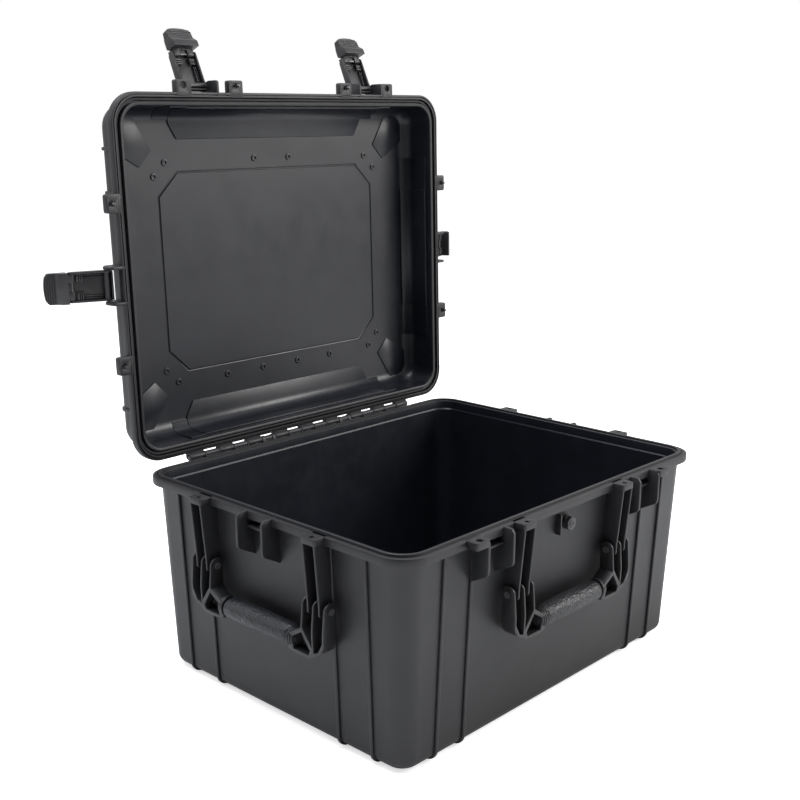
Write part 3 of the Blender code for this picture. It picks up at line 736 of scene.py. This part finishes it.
# ---- lid ------------------------------------------------------------------------------
@dataclass
class LidShell:
    """Shallow upper half, drawn shut and swung open, with its panelled inside."""

    sizes: CaseSizes
    opened: Matrix
    draft: float = 0.003
    top: float = 0.348
    ceiling: float = 0.343
    outer_radius: float = 0.025
    inner_radius: float = 0.020
    groove: tuple[float, float] = (0.0067, 0.0133)
    groove_deep: float = 0.0075
    parts: list[Piece] = field(default_factory=list)

    @property
    def low(self) -> float:
        """Height of the lid's rim face on the shut case."""
        return self.sizes.parting + self.sizes.seam

    def walls(self) -> Piece:
        """Skin the lid from its top, round the rim, up to its ceiling."""
        s = self.sizes
        low, band = self.low, s.parting + s.band
        head = s.wall_inset + self.draft
        near, far = self.groove
        profile = arc((head + self.outer_radius, self.top - self.outer_radius),
                      self.outer_radius, 90, 180, 10)
        profile += [(s.wall_inset + 0.0002, band + 0.0034), (s.wall_inset - 0.0008, band + 0.0016),
                    (s.wall_inset - 0.0030, band + 0.0003), (0.0014, band), (0.0004, band - 0.0004),
                    (0.0, band - 0.0014), (0.0, low + 0.0014), (0.0004, low + 0.0004),
                    (0.0012, low), (0.0027, low), (0.0029, low + 0.0026), (0.0042, low + 0.0026),
                    (0.0044, low), (near - 0.0004, low), (near, low + 0.0004),
                    (near, low + self.groove_deep), (far, low + self.groove_deep),
                    (far, low + 0.0004), (far + 0.0004, low), (0.0162, low), (0.0172, low + 0.0006),
                    (0.0176, low + 0.0018), (0.0180, low + 0.0100)]
        inner_head = head + s.wall
        profile += arc((inner_head + self.inner_radius, self.ceiling - self.inner_radius),
                       self.inner_radius, 180, 90, 8)
        return skin([s.rim_loop(inset, z) for inset, z in profile])

    def scribe(self, outline: Outline, radius: float) -> Piece:
        """Round cutter that runs along a closed outline on the ceiling."""
        curve = bpy.data.curves.new("scribe", "CURVE")
        curve.dimensions = "3D"
        curve.bevel_depth = radius
        curve.bevel_resolution = 2
        spline = curve.splines.new("POLY")
        spline.points.add(len(outline) - 1)
        for point, (x, y) in zip(spline.points, outline):
            point.co = (x, y, self.ceiling, 1.0)
        spline.use_cyclic_u = True
        cutter = bpy.data.objects.new("scribe", curve)
        bpy.context.scene.collection.objects.link(cutter)
        take(cutter)
        bpy.ops.object.convert(target="MESH")
        return bpy.context.view_layer.objects.active

    def scribed(self, shell: Piece) -> Piece:
        """Cut the outline of the ceiling's eight-sided panel into it."""
        octagon = [(0.211, -0.110), (0.211, 0.110), (0.177, 0.143), (-0.177, 0.143),
                   (-0.211, 0.110), (-0.211, -0.110), (-0.177, -0.143), (0.177, -0.143)]
        return combine(shell, [self.scribe(octagon, 0.0019)], "DIFFERENCE")

    def facets(self) -> None:
        """Flat pads in the four corners of the ceiling, lost in the fillet outwards."""
        plan = [(0.240, 0.2065), (0.219, 0.174), (0.241, 0.151), (0.286, 0.1775),
                (0.286, 0.205), (0.278, 0.215), (0.270, 0.219), (0.248, 0.219)]
        for sx in (-1, 1):
            for sy in (-1, 1):
                pad = slab([(sx * x, sy * y) for x, y in plan], Axis.Z,
                           self.ceiling - 0.0016, self.ceiling + 0.0005)
                self.parts.append(soften(pad, 0.0007, 2))

    def bosses(self) -> None:
        """Screw bosses for a lid tray, each with its pilot hole, and ejector marks."""
        spots = [(sx * x, sy * y) for x, y in ((0.198, 0.157), (0.218, 0.138))
                 for sx in (-1, 1) for sy in (-1, 1)]
        spots += [(x, -0.159) for x in (-0.034, 0.034)]
        spots += [(x, 0.159) for x in (-0.107, -0.036, 0.036, 0.107)]
        for x, y in spots:
            boss = bar(Axis.Z, (x, y, self.ceiling), 0.0050, 0.0030, 24)
            hole = bar(Axis.Z, (x, y, self.ceiling), 0.0024, 0.02, 16)
            self.parts.append(soften(combine(boss, [hole], "DIFFERENCE"), 0.0004))
        for x, y in ((0.0, -0.200), (-0.129, -0.199), (0.129, -0.199), (-0.128, 0.203)):
            mark = bar(Axis.Z, (x, y, self.ceiling), 0.0070, 0.0006, 32)
            self.parts.append(soften(mark, 0.0002, 1))

    def wall_pad(self, half_face: float, axis: Axis, sign: int, reach: float, half: float,
                 apron: float = 0.0) -> Piece:
        """Thickening that follows a wall and its fillet, its ends slanted on the ceiling.

        Args:
            half_face: distance of the wall's flange from the middle.
            axis: the axis it runs along.
            sign: which of the two walls.
            reach: how far it stands off the wall.
            half: half its length on the wall.
            apron: how far it runs on over the ceiling.

        Returns:
            The softened pad.
        """
        s = self.sizes
        inner = half_face - s.wall_inset - self.draft - s.wall
        mid = (inner - self.inner_radius, self.ceiling - self.inner_radius)
        face = [(inner - reach, self.low + 0.010)]
        face += arc(mid, self.inner_radius - reach, 0, 90 if apron else 80, 9)
        back = [(inner + 0.002, self.low + 0.010), (inner + 0.002, self.ceiling - 0.008),
                (inner - 0.008, self.ceiling + 0.0005)]
        if apron:
            face.append((mid[0] - apron, self.ceiling - reach))
            back.append((mid[0] - apron, self.ceiling + 0.0005))
        pad = slab([(sign * u, z) for u, z in face + back[::-1]], axis, -half, half)
        if apron:
            slant = 0.6 * apron
            plan = [(-half, 1.0), (-half, mid[0]), (slant - half, mid[0] - apron - 0.0001),
                    (half - slant, mid[0] - apron - 0.0001), (half, mid[0]), (half, 1.0)]
            pad = combine(pad, [slab([(u, sign * v) for u, v in plan], Axis.Z, 0.2, 0.4)],
                          "INTERSECT")
        return soften(pad, 0.0006, 2)

    def wall_pads(self) -> None:
        """Stepped thickenings behind the latches and the hinge."""
        s = self.sizes
        for sign in (-1, 1):
            for reach, half in ((0.0016, 0.150), (0.0034, 0.098)):
                self.parts.append(self.wall_pad(s.half_length, Axis.Y, sign, reach, half))
            for reach, half, apron in ((0.0010, 0.216, 0.0), (0.0022, 0.189, 0.0225)):
                self.parts.append(self.wall_pad(s.half_width, Axis.X, sign, reach, half, apron))

    def ribs(self) -> None:
        """Ribs up all four walls that wrap a short way over the top."""
        s = self.sizes
        width = s.rib_width / 2
        for places, half, axis in ((s.front_ribs, s.half_width, Axis.X),
                                   (s.side_ribs, s.half_length, Axis.Y)):
            for at in places:
                for sign in (-1, 1):
                    outline = [(sign * u, z) for u, z in self.rib_outline(half)]
                    rib = slab(outline, axis, at - width, at + width)
                    self.parts.append(soften(rib, 0.0013, 3))

    def rib_outline(self, half: float) -> Outline:
        """Outline of one lid rib on a face at a distance from the middle."""
        s = self.sizes
        low, bury, tail = s.parting + s.band + 0.0005, 0.002, 0.030
        head = s.wall_inset + self.draft
        mid = (half - head - self.outer_radius, self.top - self.outer_radius)
        outer = [(half - s.wall_inset + s.rib_proud, low)]
        outer += arc(mid, self.outer_radius + s.rib_proud, 0, 90, 10)
        inner = [(half - s.wall_inset - bury, low)]
        inner += arc(mid, self.outer_radius - bury, 0, 90, 10)
        end = mid[0] - tail
        return outer + [(end, self.top + 0.0005), (end, self.top - bury)] + inner[::-1]

    def fins(self) -> None:
        """Fins that carry each latch's pivot pin."""
        s = self.sizes
        low = self.low
        outline = [(-0.004, low), (0.0140, low), (0.0165, low + 0.0030)]
        outline += [(0.0165, 0.3065), (0.0152, 0.3103), (0.0050, 0.3225)]
        outline += [(-0.0135, 0.3225), (-0.0135, 0.3010), (-0.004, 0.2955)]
        for face, along in s.latch_places().values():
            for side in (-1, 1):
                centre = side * s.fin_offset
                fin = side_slab(outline, centre - s.fin_thick / 2, centre + s.fin_thick / 2)
                self.parts.append(moved(soften(fin, 0.0008), s.place(face, along)))

    def lugs(self) -> None:
        """Guide-pin lugs on three faces and padlock lugs on the front."""
        s = self.sizes
        low, high = self.low, self.low + 0.0095
        for face in HANDLE_FACES.values():
            for side in (-1, 1):
                lug = drilled_lug(0.0125, s.lug_out, low, high, 0.0036, s.pin_out)
                self.parts.append(moved(lug, s.place(face, side * s.handle_span)))
                floor = block((-0.005, -s.pin_out - 0.005, low + 0.0022),
                              (0.005, -s.pin_out + 0.005, low + 0.0075))
                self.parts.append(moved(floor, s.place(face, side * s.handle_span)))
        for sign in (-1, 1):
            lug = drilled_lug(0.012, s.lug_out, low, high, 0.0045, s.pin_out)
            self.parts.append(moved(lug, s.place(Face.FRONT, sign * s.eye_along)))

    def knuckles(self) -> None:
        """Full-width hinge knuckles on webs, with softened edges."""
        s = self.sizes
        edge = s.half_width - 0.0015
        half = s.knuckle_width / 2
        rise = s.hinge_z + 0.0070
        web = [(edge, self.low + 0.0004), (s.hinge_y, s.hinge_z - 0.001),
               (s.hinge_y + 0.0036, s.hinge_z + 0.003), (s.hinge_y + 0.0020, rise), (edge, rise)]
        for k in range(-4, 5):
            centre = k * s.knuckle_pitch
            barrel = bar(Axis.X, (centre, s.hinge_y, s.hinge_z), 0.0050, 2 * half, 24)
            self.parts.append(soften(barrel, 0.0004))
            self.parts.append(soften(slab(web, Axis.X, centre - half, centre + half), 0.0004))

    def within(self, spot: Vector) -> bool:
        """Say whether a point is on the cavity's side of the wall."""
        s = self.sizes
        deep = s.inset(spot) - s.wall_inset - self.draft - s.wall
        over = spot.z - self.ceiling + self.inner_radius
        if over > 0 and deep < self.inner_radius:
            reach = Vector((self.inner_radius - deep, over)).length
            return reach < self.inner_radius + s.wall / 2
        return deep > -s.wall / 2 and self.low + 0.002 < spot.z < self.ceiling + s.wall / 2

    def build(self, finish: Finish, lining_with_painted_shade: Finish) -> Piece:
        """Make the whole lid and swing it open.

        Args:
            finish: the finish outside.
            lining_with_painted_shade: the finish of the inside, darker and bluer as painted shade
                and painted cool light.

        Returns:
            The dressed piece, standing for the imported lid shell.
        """
        self.parts.append(self.scribed(self.walls()))
        self.facets()
        self.bosses()
        self.wall_pads()
        self.ribs()
        self.fins()
        self.lugs()
        self.knuckles()
        piece = join("case_lid", self.parts)
        dress(piece, finish.material())
        line(piece, lining_with_painted_shade.material(), self.within)
        moved(piece, self.opened)
        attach(piece, "lid")
        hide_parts("lid_shell")
        return piece


@dataclass
class LidSeal:
    """Rubber ring in the lid's groove, crowned where the tongue presses it."""

    sizes: CaseSizes
    opened: Matrix
    near: float = 0.0074
    far: float = 0.0116
    depth: float = 0.0074

    def build(self, finish: Finish) -> Piece:
        """Make the seal and lay it in the open lid."""
        s = self.sizes
        crown, top = s.parting + 0.0036, s.parting + s.seam + self.depth
        mid = (self.near + self.far) / 2
        half = (self.far - self.near) / 2
        section = arc((mid, crown + half), half, 180, 360, 8)
        section += [(self.far, top), (self.near, top)]
        piece = skin([s.rim_loop(inset, z) for inset, z in section], cyclic=True)
        piece = moved(join("lid_seal", [piece]), self.opened)
        dress(piece, finish.material())
        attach(piece, "lid")
        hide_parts("lid_gasket")
        return piece


# ---- latch ----------------------------------------------------------------------------
@dataclass
class Latch:
    """Double-throw latch, drawn hanging shut: an arm on the lid and a thumb lever on it."""

    sizes: CaseSizes
    opened: Matrix
    swing: float
    half: float = 0.0205
    wall: float = 0.003
    pivot: tuple[float, float] = (0.010, 0.311)
    lever_pin: tuple[float, float] = (0.002, -0.046)
    tip: float = -0.0372
    groove_pitch: float = 0.0029

    def arm(self) -> Piece:
        """Channel arm: two cheeks, a back plate, stiffeners and the lever's bearing."""
        cheek = arc((0.001, 0.0), 0.0062, 150, 20, 8)
        cheek += [(0.0088, -0.006), (0.0088, -0.044)]
        cheek += arc((0.0025, -0.0462), 0.0045, -20, -170, 8) + [(-0.0030, -0.010)]
        parts = []
        for low in (-self.half, self.half - self.wall):
            parts.append(soften(side_slab(cheek, low, low + self.wall), 0.0006))
        plate = side_slab([(0.0056, 0.0052), (0.0082, 0.0030), (0.0082, -0.0508),
                           (0.0056, -0.0508)], -self.half + 0.001, self.half - 0.001)
        pocket = block((-0.0110, -0.0072, -0.0325), (-0.0060, 0.0, -0.0305))
        parts.append(soften(combine(plate, [pocket], "DIFFERENCE"), 0.0004, 2))
        for side in (-1, 1):
            for low, high in ((-0.0402, -0.0372), (-0.0362, -0.0344), (-0.0334, -0.0316)):
                ends = sorted((side * 0.0068, side * (self.half - self.wall + 0.0005)))
                bearing = block((ends[0], -0.0060, low), (ends[1], -0.0006, high))
                parts.append(soften(bearing, 0.0004))
            for at in (0.0125, 0.0155):
                rib = side_slab([(0.0020, -0.006), (0.0060, -0.004), (0.0060, -0.031),
                                 (0.0020, -0.029)], side * at - 0.0006, side * at + 0.0006)
                parts.append(soften(rib, 0.0003, 1))
        heel = arc((0.0, 0.0), 0.0086, 12, 118, 10) + arc((0.0, 0.0), 0.0062, 118, 12, 10)
        parts.append(soften(side_slab(heel, -self.half + 0.0012, self.half - 0.0012), 0.0004))
        parts.append(bar(Axis.X, (0.0, 0.0, 0.0), 0.0038, 2 * self.half - 0.004, 24))
        return join("arm_pattern", parts)

    def lever(self) -> Piece:
        """Thumb lever: hooked lip, slanted band and a grooved tip with round corners."""
        inner = [(-0.0028, self.tip), (-0.0052, -0.0330), (-0.0072, -0.0218)]
        outer = [(0.0060, -0.0190), (0.0044, -0.0310), (0.0014, self.tip)]
        side = [(-0.0148, -0.0068), (0.0042, -0.0068), (0.0058, -0.0090)]
        side += outer + inner + [(-0.0140, -0.0148)]
        body = side_slab(side, -self.half, self.half)
        edge, corner = self.half + 0.0005, 0.0055
        plan = [(-edge, 0.001), (edge, 0.001)]
        plan += arc((edge - corner, self.tip + 0.0085), corner, 0, -65, 5)
        plan += arc((0.0, self.tip + 0.070), 0.070, -77, -103, 6)
        plan += arc((corner - edge, self.tip + 0.0085), corner, -115, -180, 5)
        body = combine(body, [slab(plan, Axis.Y, -0.03, 0.03)], "INTERSECT")
        body = soften(body, 0.0009, 3)
        cutters = [self.groove(inner[::-1], k) for k in range(5)]
        cutters += [self.groove(outer, k) for k in range(1, 5)]
        body = combine(body, cutters, "DIFFERENCE")
        neck = side_slab([(-0.0032, 0.0020), (-0.0010, 0.0036), (0.0012, 0.0036),
                          (0.0032, 0.0010), (0.0040, -0.0080), (-0.0036, -0.0080)],
                         -self.half + 0.0036, self.half - 0.0036)
        gap = block((-0.0060, -0.02, -0.0060), (0.0060, 0.02, 0.01))
        parts = [body, soften(combine(neck, [gap], "DIFFERENCE"), 0.0006)]
        web = side_slab([(-0.0010, -0.0080), (0.0028, -0.0080), (0.0028, -0.0005),
                         (-0.0010, -0.0005)], -0.0062, 0.0062)
        parts.append(soften(web, 0.0003))
        parts.append(bar(Axis.X, (0.0, 0.0, -0.0010), 0.0016, 0.014, 16))
        return join("lever_pattern", parts)

    def groove(self, face: Outline, k: int) -> Piece:
        """Round cutter for the k-th finger groove, laid across a face.

        Args:
            face: three (outward, height) points of the face, towards the tip.
            k: which groove, counted towards the tip.

        Returns:
            The cutter.
        """
        z = face[0][1] - 0.0020 - k * self.groove_pitch
        start, end = face[:2] if z > face[1][1] else face[1:]
        out = start[0] + (end[0] - start[0]) * (z - start[1]) / (end[1] - start[1])
        return bar(Axis.X, (0.0, -out, z), 0.0009, 2 * self.half + 0.01, 10)

    def build(self, finish: Finish) -> list[Piece]:
        """Copy the latch onto its four places on the open lid.

        Args:
            finish: the latch's finish.

        Returns:
            Arms and levers, in turn.
        """
        material = finish.material()
        arm, lever = self.arm(), self.lever()
        made = []
        joint = Matrix.Translation((0.0, -self.lever_pin[0], self.lever_pin[1]))
        for name, (face, along) in self.sizes.latch_places().items():
            place = self.opened @ self.sizes.place(face, along, *self.pivot)
            place = place @ Matrix.Rotation(-radians(self.swing), 4, "X")
            for pattern, part, body, where in ((arm, "arm", "latch", place),
                                               (lever, "lever", "lever", place @ joint)):
                piece = copy_of(pattern, f"{name}_{part}", where)
                dress(piece, material)
                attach(piece, f"{name}_{body}")
                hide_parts(f"{name}_latch_{part}")
                made.append(piece)
        scrap(arm, lever)
        return made


# ---- handle ---------------------------------------------------------------------------
@dataclass
class Handle:
    """Fold-down handle drawn about its pivot axis: forked truss arms, bar and grip."""

    sizes: CaseSizes
    pivot: tuple[float, float] = (-0.001, 0.193)
    grip_down: float = -0.050
    grip_out: float = 0.0013
    grip_half: float = 0.0610
    grip_radius: float = 0.0136
    crown: float = 0.0018
    core: float = 0.0080
    pin: float = 0.0025

    def arm(self, sign: int) -> Piece:
        """One arm, sign +1 at +x: three fins, a bottom chord and a truss window."""
        span = self.sizes.handle_span
        outline = [(-0.0204, 0.0112), (0.0204, 0.0112), (0.0204, -0.0380)]
        outline += arc((0.0020, -0.0400), 0.0184, -10, -58, 5)
        outline += [(-0.0060, -0.0660), (-0.0300, -0.0668), (-0.0440, -0.0640),
                    (-0.0440, -0.0405), (-0.0390, -0.0405), (-0.0204, -0.0290)]
        windows = [[(0.0014, 0.02), (0.0176, 0.02), (0.0176, -0.0385), (0.0090, -0.0540),
                    (0.0014, -0.0560)],
                   [(-0.0176, 0.02), (-0.0014, 0.02), (-0.0014, -0.0500), (-0.0176, -0.0280)],
                   [(-0.0190, -0.0345), (-0.0050, -0.0556), (-0.0080, -0.0618),
                    (-0.0350, -0.0616), (-0.0360, -0.0450)]]
        slab_arm = slab([(sign * (span + x), z) for x, z in outline], Axis.Y, -0.02, 0.02)
        side = arc((0.0, 0.0), 0.0105, 20, 160, 10)
        side += [(-0.0095, -0.030), (-0.0078, -0.0700), (0.0112, -0.0700), (0.0128, -0.030)]
        taper = side_slab(side, -0.2, 0.2)
        cutters = [slab([(sign * (span + x), z) for x, z in w], Axis.Y, -0.03, 0.03)
                   for w in windows]
        shape = combine(slab_arm, [taper], "INTERSECT")
        shape = combine(shape, cutters, "DIFFERENCE")
        shape = soften(shape, 0.0008, 2)
        web = slab([(sign * (span + x), z) for x, z in windows[2]], Axis.Y, 0.002, 0.0035)
        join("arm", [shape, web])
        return shape

    def frame(self) -> Piece:
        """Both arms with ringed collars and the core bar."""
        parts = [self.arm(-1), self.arm(1)]
        parts.append(bar(Axis.X, (0.0, -self.grip_out, self.grip_down), self.core, 0.150, 32))
        for sign in (-1, 1):
            for at, radius, wide in ((0.0645, 0.0140, 0.0022), (0.0675, 0.0134, 0.0022),
                                     (0.0705, 0.0126, 0.0022), (0.0680, 0.0118, 0.0090)):
                ring = bar(Axis.X, (sign * at, -self.grip_out, self.grip_down), radius, wide, 40)
                parts.append(soften(ring, 0.0005))
        return join("frame_pattern", parts)

    def grip(self) -> Piece:
        """Rubber sleeve with a crowned back, finger scallops and a mould ridge."""
        stations, sides = 41, 48
        loops = []
        for k in range(stations):
            t = 2 * k / (stations - 1) - 1
            x = t * self.grip_half
            end = 1.0 - 0.10 * max(0.0, (abs(t) - 0.95) / 0.05) ** 2
            base = (self.grip_radius + self.crown * cos(pi / 2 * t)) * end
            loop = []
            for j in range(sides):
                angle = 2 * pi * j / sides
                down = max(0.0, -cos(angle - 0.15))
                scallop = 0.0011 * down ** 2 * (0.5 + 0.5 * cos(4 * pi * t)) * (1 - t ** 6)
                ridge = 0.0005 * max(0.0, cos(4 * (angle - pi / 2 - 0.35 * sin(5 * t)))) ** 24
                radius = base - scallop + ridge * (1 if abs(t) < 0.93 else 0)
                loop.append((x, -self.grip_out + radius * sin(angle),
                             self.grip_down + radius * cos(angle)))
            loops.append(loop)
        bore = [[(x, -self.grip_out + (self.core + 0.0006) * sin(2 * pi * j / sides),
                  self.grip_down + (self.core + 0.0006) * cos(2 * pi * j / sides))
                 for j in range(sides)] for x in (self.grip_half, -self.grip_half)]
        return join("grip_pattern", [skin(loops + bore, cyclic=True)], 40.0)

    def build(self, frame_finish: Finish, grip_finish: Finish) -> list[Piece]:
        """Copy the handle onto three faces.

        Args:
            frame_finish: finish of the arms and collars.
            grip_finish: finish of the rubber sleeve.

        Returns:
            Frames and grips, in turn.
        """
        dressed = ((self.frame(), "frame", "handle", frame_finish.material()),
                   (self.grip(), "grip", "grip", grip_finish.material()))
        made = []
        for name, face in HANDLE_FACES.items():
            place = self.sizes.place(face, 0.0, *self.pivot)
            for pattern, part, slot, material in dressed:
                piece = copy_of(pattern, f"{name}_{part}", place)
                dress(piece, material)
                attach(piece, f"{name}_handle")
                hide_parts(f"{name}_handle_{part}")
                made.append(piece)
        scrap(*(pattern for pattern, _, _, _ in dressed))
        return made


# ---- purge valve ----------------------------------------------------------------------
@dataclass
class PurgeValve:
    """Hexagonal vent screw in the front wall, with a washer face and a centre cap."""

    sizes: CaseSizes
    along: float = 0.004
    height: float = 0.2515
    wall_back: float = 0.0119
    hexagon: float = 0.0100

    def build(self, finish: Finish) -> Piece:
        """Make the valve's outer body on the front wall."""
        head = soften(bar(Axis.Y, (0.0, -0.0070, 0.0), self.hexagon, 0.0072, 6), 0.0008, 3, 20)
        washer = soften(bar(Axis.Y, (0.0, -0.0036, 0.0), 0.0098, 0.0014, 40), 0.0004)
        cap = soften(bar(Axis.Y, (0.0, -0.0105, 0.0), 0.0056, 0.0016, 32), 0.0005)
        vents = [block((-0.0040, -0.014, z), (0.0040, -0.0108, z + 0.0006))
                 for z in (-0.0018, -0.0003, 0.0012)]
        cap = combine(cap, vents, "DIFFERENCE")
        stem = bar(Axis.Y, (0.0, 0.0040, 0.0), 0.0058, 0.0160, 28)
        piece = join("purge_valve", [head, washer, cap, stem])
        moved(piece, self.sizes.place(Face.FRONT, self.along, -self.wall_back, self.height))
        dress(piece, finish.material())
        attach(piece, "base")
        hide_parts("purge_valve_body")
        return piece


def dress_hardware(finishes: Finishes) -> int:
    """Give every packed pin, nut and ring that stays in view its own finish.

    Args:
        finishes: the finishes to choose from.

    Returns:
        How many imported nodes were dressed.
    """
    steel, dark = finishes.steel.material(), finishes.dark_steel.material()
    seal, moulded = finishes.seal.material(), finishes.latch.material()
    chosen = {"hinge_pin": dark, "purge_valve_o_ring": seal, "purge_valve_membrane": seal,
              "purge_valve_nut": moulded}
    for name in frame["nodes"]:
        if "_handle_pin_" in name or "_guide_pin_" in name or name.endswith("_lever_pin"):
            chosen[name] = dark
        elif name.endswith("_pin"):
            chosen.setdefault(name, steel)
    for name, material in chosen.items():
        dress(frame["nodes"][name], material)
    return len(chosen)


# ---- studio ---------------------------------------------------------------------------
@dataclass
class Studio:
    """Pale floor, soft lights and the camera."""

    eye: tuple[float, float, float] = (-1.2094, -1.0780, 0.7689)
    pitch: float = 74.592
    yaw: float = -46.343
    lens: float = 53.11
    shift: tuple[float, float] = (0.0132, 0.0458)
    open_side: tuple[float, float, float] = (-0.92, -0.38, 0.0)
    bright: float = 0.76
    shaded: float = 0.06
    floor_seen: float = 0.60
    floor_glow: float = 0.02

    def floor(self) -> None:
        """Lay a wide pale floor."""
        bpy.ops.object.select_all(action="DESELECT")
        bpy.ops.mesh.primitive_plane_add(size=60.0, location=(0.0, 0.0, -0.0005))
        plane = bpy.context.object
        plane.name = "floor"
        material = bpy.data.materials.new("pale_paper")
        material.use_nodes = True
        tree = material.node_tree
        shader = tree.nodes["Principled BSDF"]
        shader.inputs["Roughness"].default_value = 0.9
        shader.inputs["Emission Color"].default_value = linear("#FFFFFF")
        seen = add_node(tree, "ShaderNodeLightPath").outputs["Is Camera Ray"]
        glow = add_node(tree, "ShaderNodeMath", {"operation": "MULTIPLY_ADD"},
                        {1: self.floor_seen, 2: self.floor_glow}, {0: seen})
        tree.links.new(glow.outputs[0], shader.inputs["Emission Strength"])
        where = add_node(tree, "ShaderNodeTexCoord").outputs["Object"]
        fibre = add_node(tree, "ShaderNodeTexNoise", {}, {"Scale": 40.0}, {"Vector": where})
        tone = add_node(tree, "ShaderNodeMix", {"data_type": "RGBA"},
                        {6: linear("#F4F4F4"), 7: linear("#F8F8F8")}, {0: fibre.outputs["Fac"]})
        tree.links.new(tone.outputs[2], shader.inputs["Base Color"])
        dress(plane, material)

    def area(self, name: str, place: tuple[float, float, float], aim: tuple[float, float, float],
             size: float, power: float, colour: str) -> None:
        """Hang a square soft light that looks at a point."""
        light = bpy.data.lights.new(name, "AREA")
        light.size = size
        light.energy = power
        light.color = linear(colour)[:3]
        lamp = bpy.data.objects.new(name, light)
        lamp.location = place
        direction = Vector(aim) - Vector(place)
        lamp.rotation_euler = direction.to_track_quat("-Z", "Y").to_euler()
        bpy.context.scene.collection.objects.link(lamp)

    def surround(self) -> None:
        """White all round, shaded on the side where the room is open."""
        world = bpy.data.worlds.new("studio")
        world.use_nodes = True
        tree = world.node_tree
        away = add_node(tree, "ShaderNodeTexCoord").outputs["Generated"]
        open_side = Vector(self.open_side).normalized()
        facing = add_node(tree, "ShaderNodeVectorMath", {"operation": "DOT_PRODUCT"},
                          {1: open_side}, {0: away})
        level = add_node(tree, "ShaderNodeMapRange", {"interpolation_type": "SMOOTHSTEP"},
                         {"From Min": -0.1, "From Max": 0.85, "To Min": self.bright,
                          "To Max": self.shaded}, {"Value": facing.outputs["Value"]})
        seen = add_node(tree, "ShaderNodeLightPath").outputs["Is Camera Ray"]
        strength = add_node(tree, "ShaderNodeMath", {"operation": "MAXIMUM"}, {},
                            {0: level.outputs["Result"], 1: seen})
        background = tree.nodes["Background"]
        background.inputs["Color"].default_value = linear("#FFFFFF")
        tree.links.new(strength.outputs[0], background.inputs["Strength"])
        bpy.context.scene.world = world

    def build(self) -> None:
        """Set the floor, the world, the lights and the camera."""
        self.floor()
        self.surround()
        self.area("key", (2.2, -2.3, 1.8), (0.1, 0.0, 0.3), 1.6, 74.0, "#FFFDFA")
        self.area("top", (-0.6, 0.4, 3.0), (0.0, 0.1, 0.3), 2.0, 84.0, "#F4F8FF")
        self.area("rim", (-2.4, 1.8, 2.0), (-0.1, 0.2, 0.5), 1.2, 14.0, "#FFFFFF")
        camera = bpy.data.cameras.new("camera")
        camera.lens = self.lens
        camera.sensor_width = 36.0
        camera.shift_x, camera.shift_y = self.shift
        stand = bpy.data.objects.new("camera", camera)
        stand.location = self.eye
        stand.rotation_euler = (radians(self.pitch), 0.0, radians(self.yaw))
        bpy.context.scene.collection.objects.link(stand)
        bpy.context.scene.camera = stand
        bpy.context.scene.view_settings.view_transform = "Standard"


def opening(name: str) -> float:
    """Angle in degrees that a joint has opened by at rest."""
    return -next(j for j in frame["joints"] if j["name"] == name)["range_deg"][0]


def lid_swing(sizes: CaseSizes) -> Matrix:
    """Matrix that takes the lid from shut to where it stands at rest."""
    hinge = Matrix.Translation((0.0, sizes.hinge_y, sizes.hinge_z))
    turn = Matrix.Rotation(-radians(opening("lid_hinge")), 4, "X")
    return hinge @ turn @ hinge.inverted()


def main() -> None:
    """Build the case piece by piece and report each one."""
    logging.basicConfig(level=logging.INFO, format="%(name)s: %(message)s")
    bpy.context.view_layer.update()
    sizes, finishes = CaseSizes(), Finishes()
    opened = lid_swing(sizes)
    made = [BaseShell(sizes).build(finishes.shell, finishes.lining_with_painted_shade)]
    made.append(LidShell(sizes, opened).build(finishes.shell, finishes.lining_with_painted_shade))
    made.append(LidSeal(sizes, opened).build(finishes.seal))
    made += Latch(sizes, opened, opening("left_latch_hinge")).build(finishes.latch)
    made += Handle(sizes).build(finishes.handle, finishes.grip)
    made.append(PurgeValve(sizes).build(finishes.latch))
    for piece in made:
        LOG.info("%s: %d faces", piece.name, len(piece.data.polygons))
    LOG.info("packed hardware dressed: %d nodes", dress_hardware(finishes))
    Studio().build()


if __name__ == "__main__":
    main()
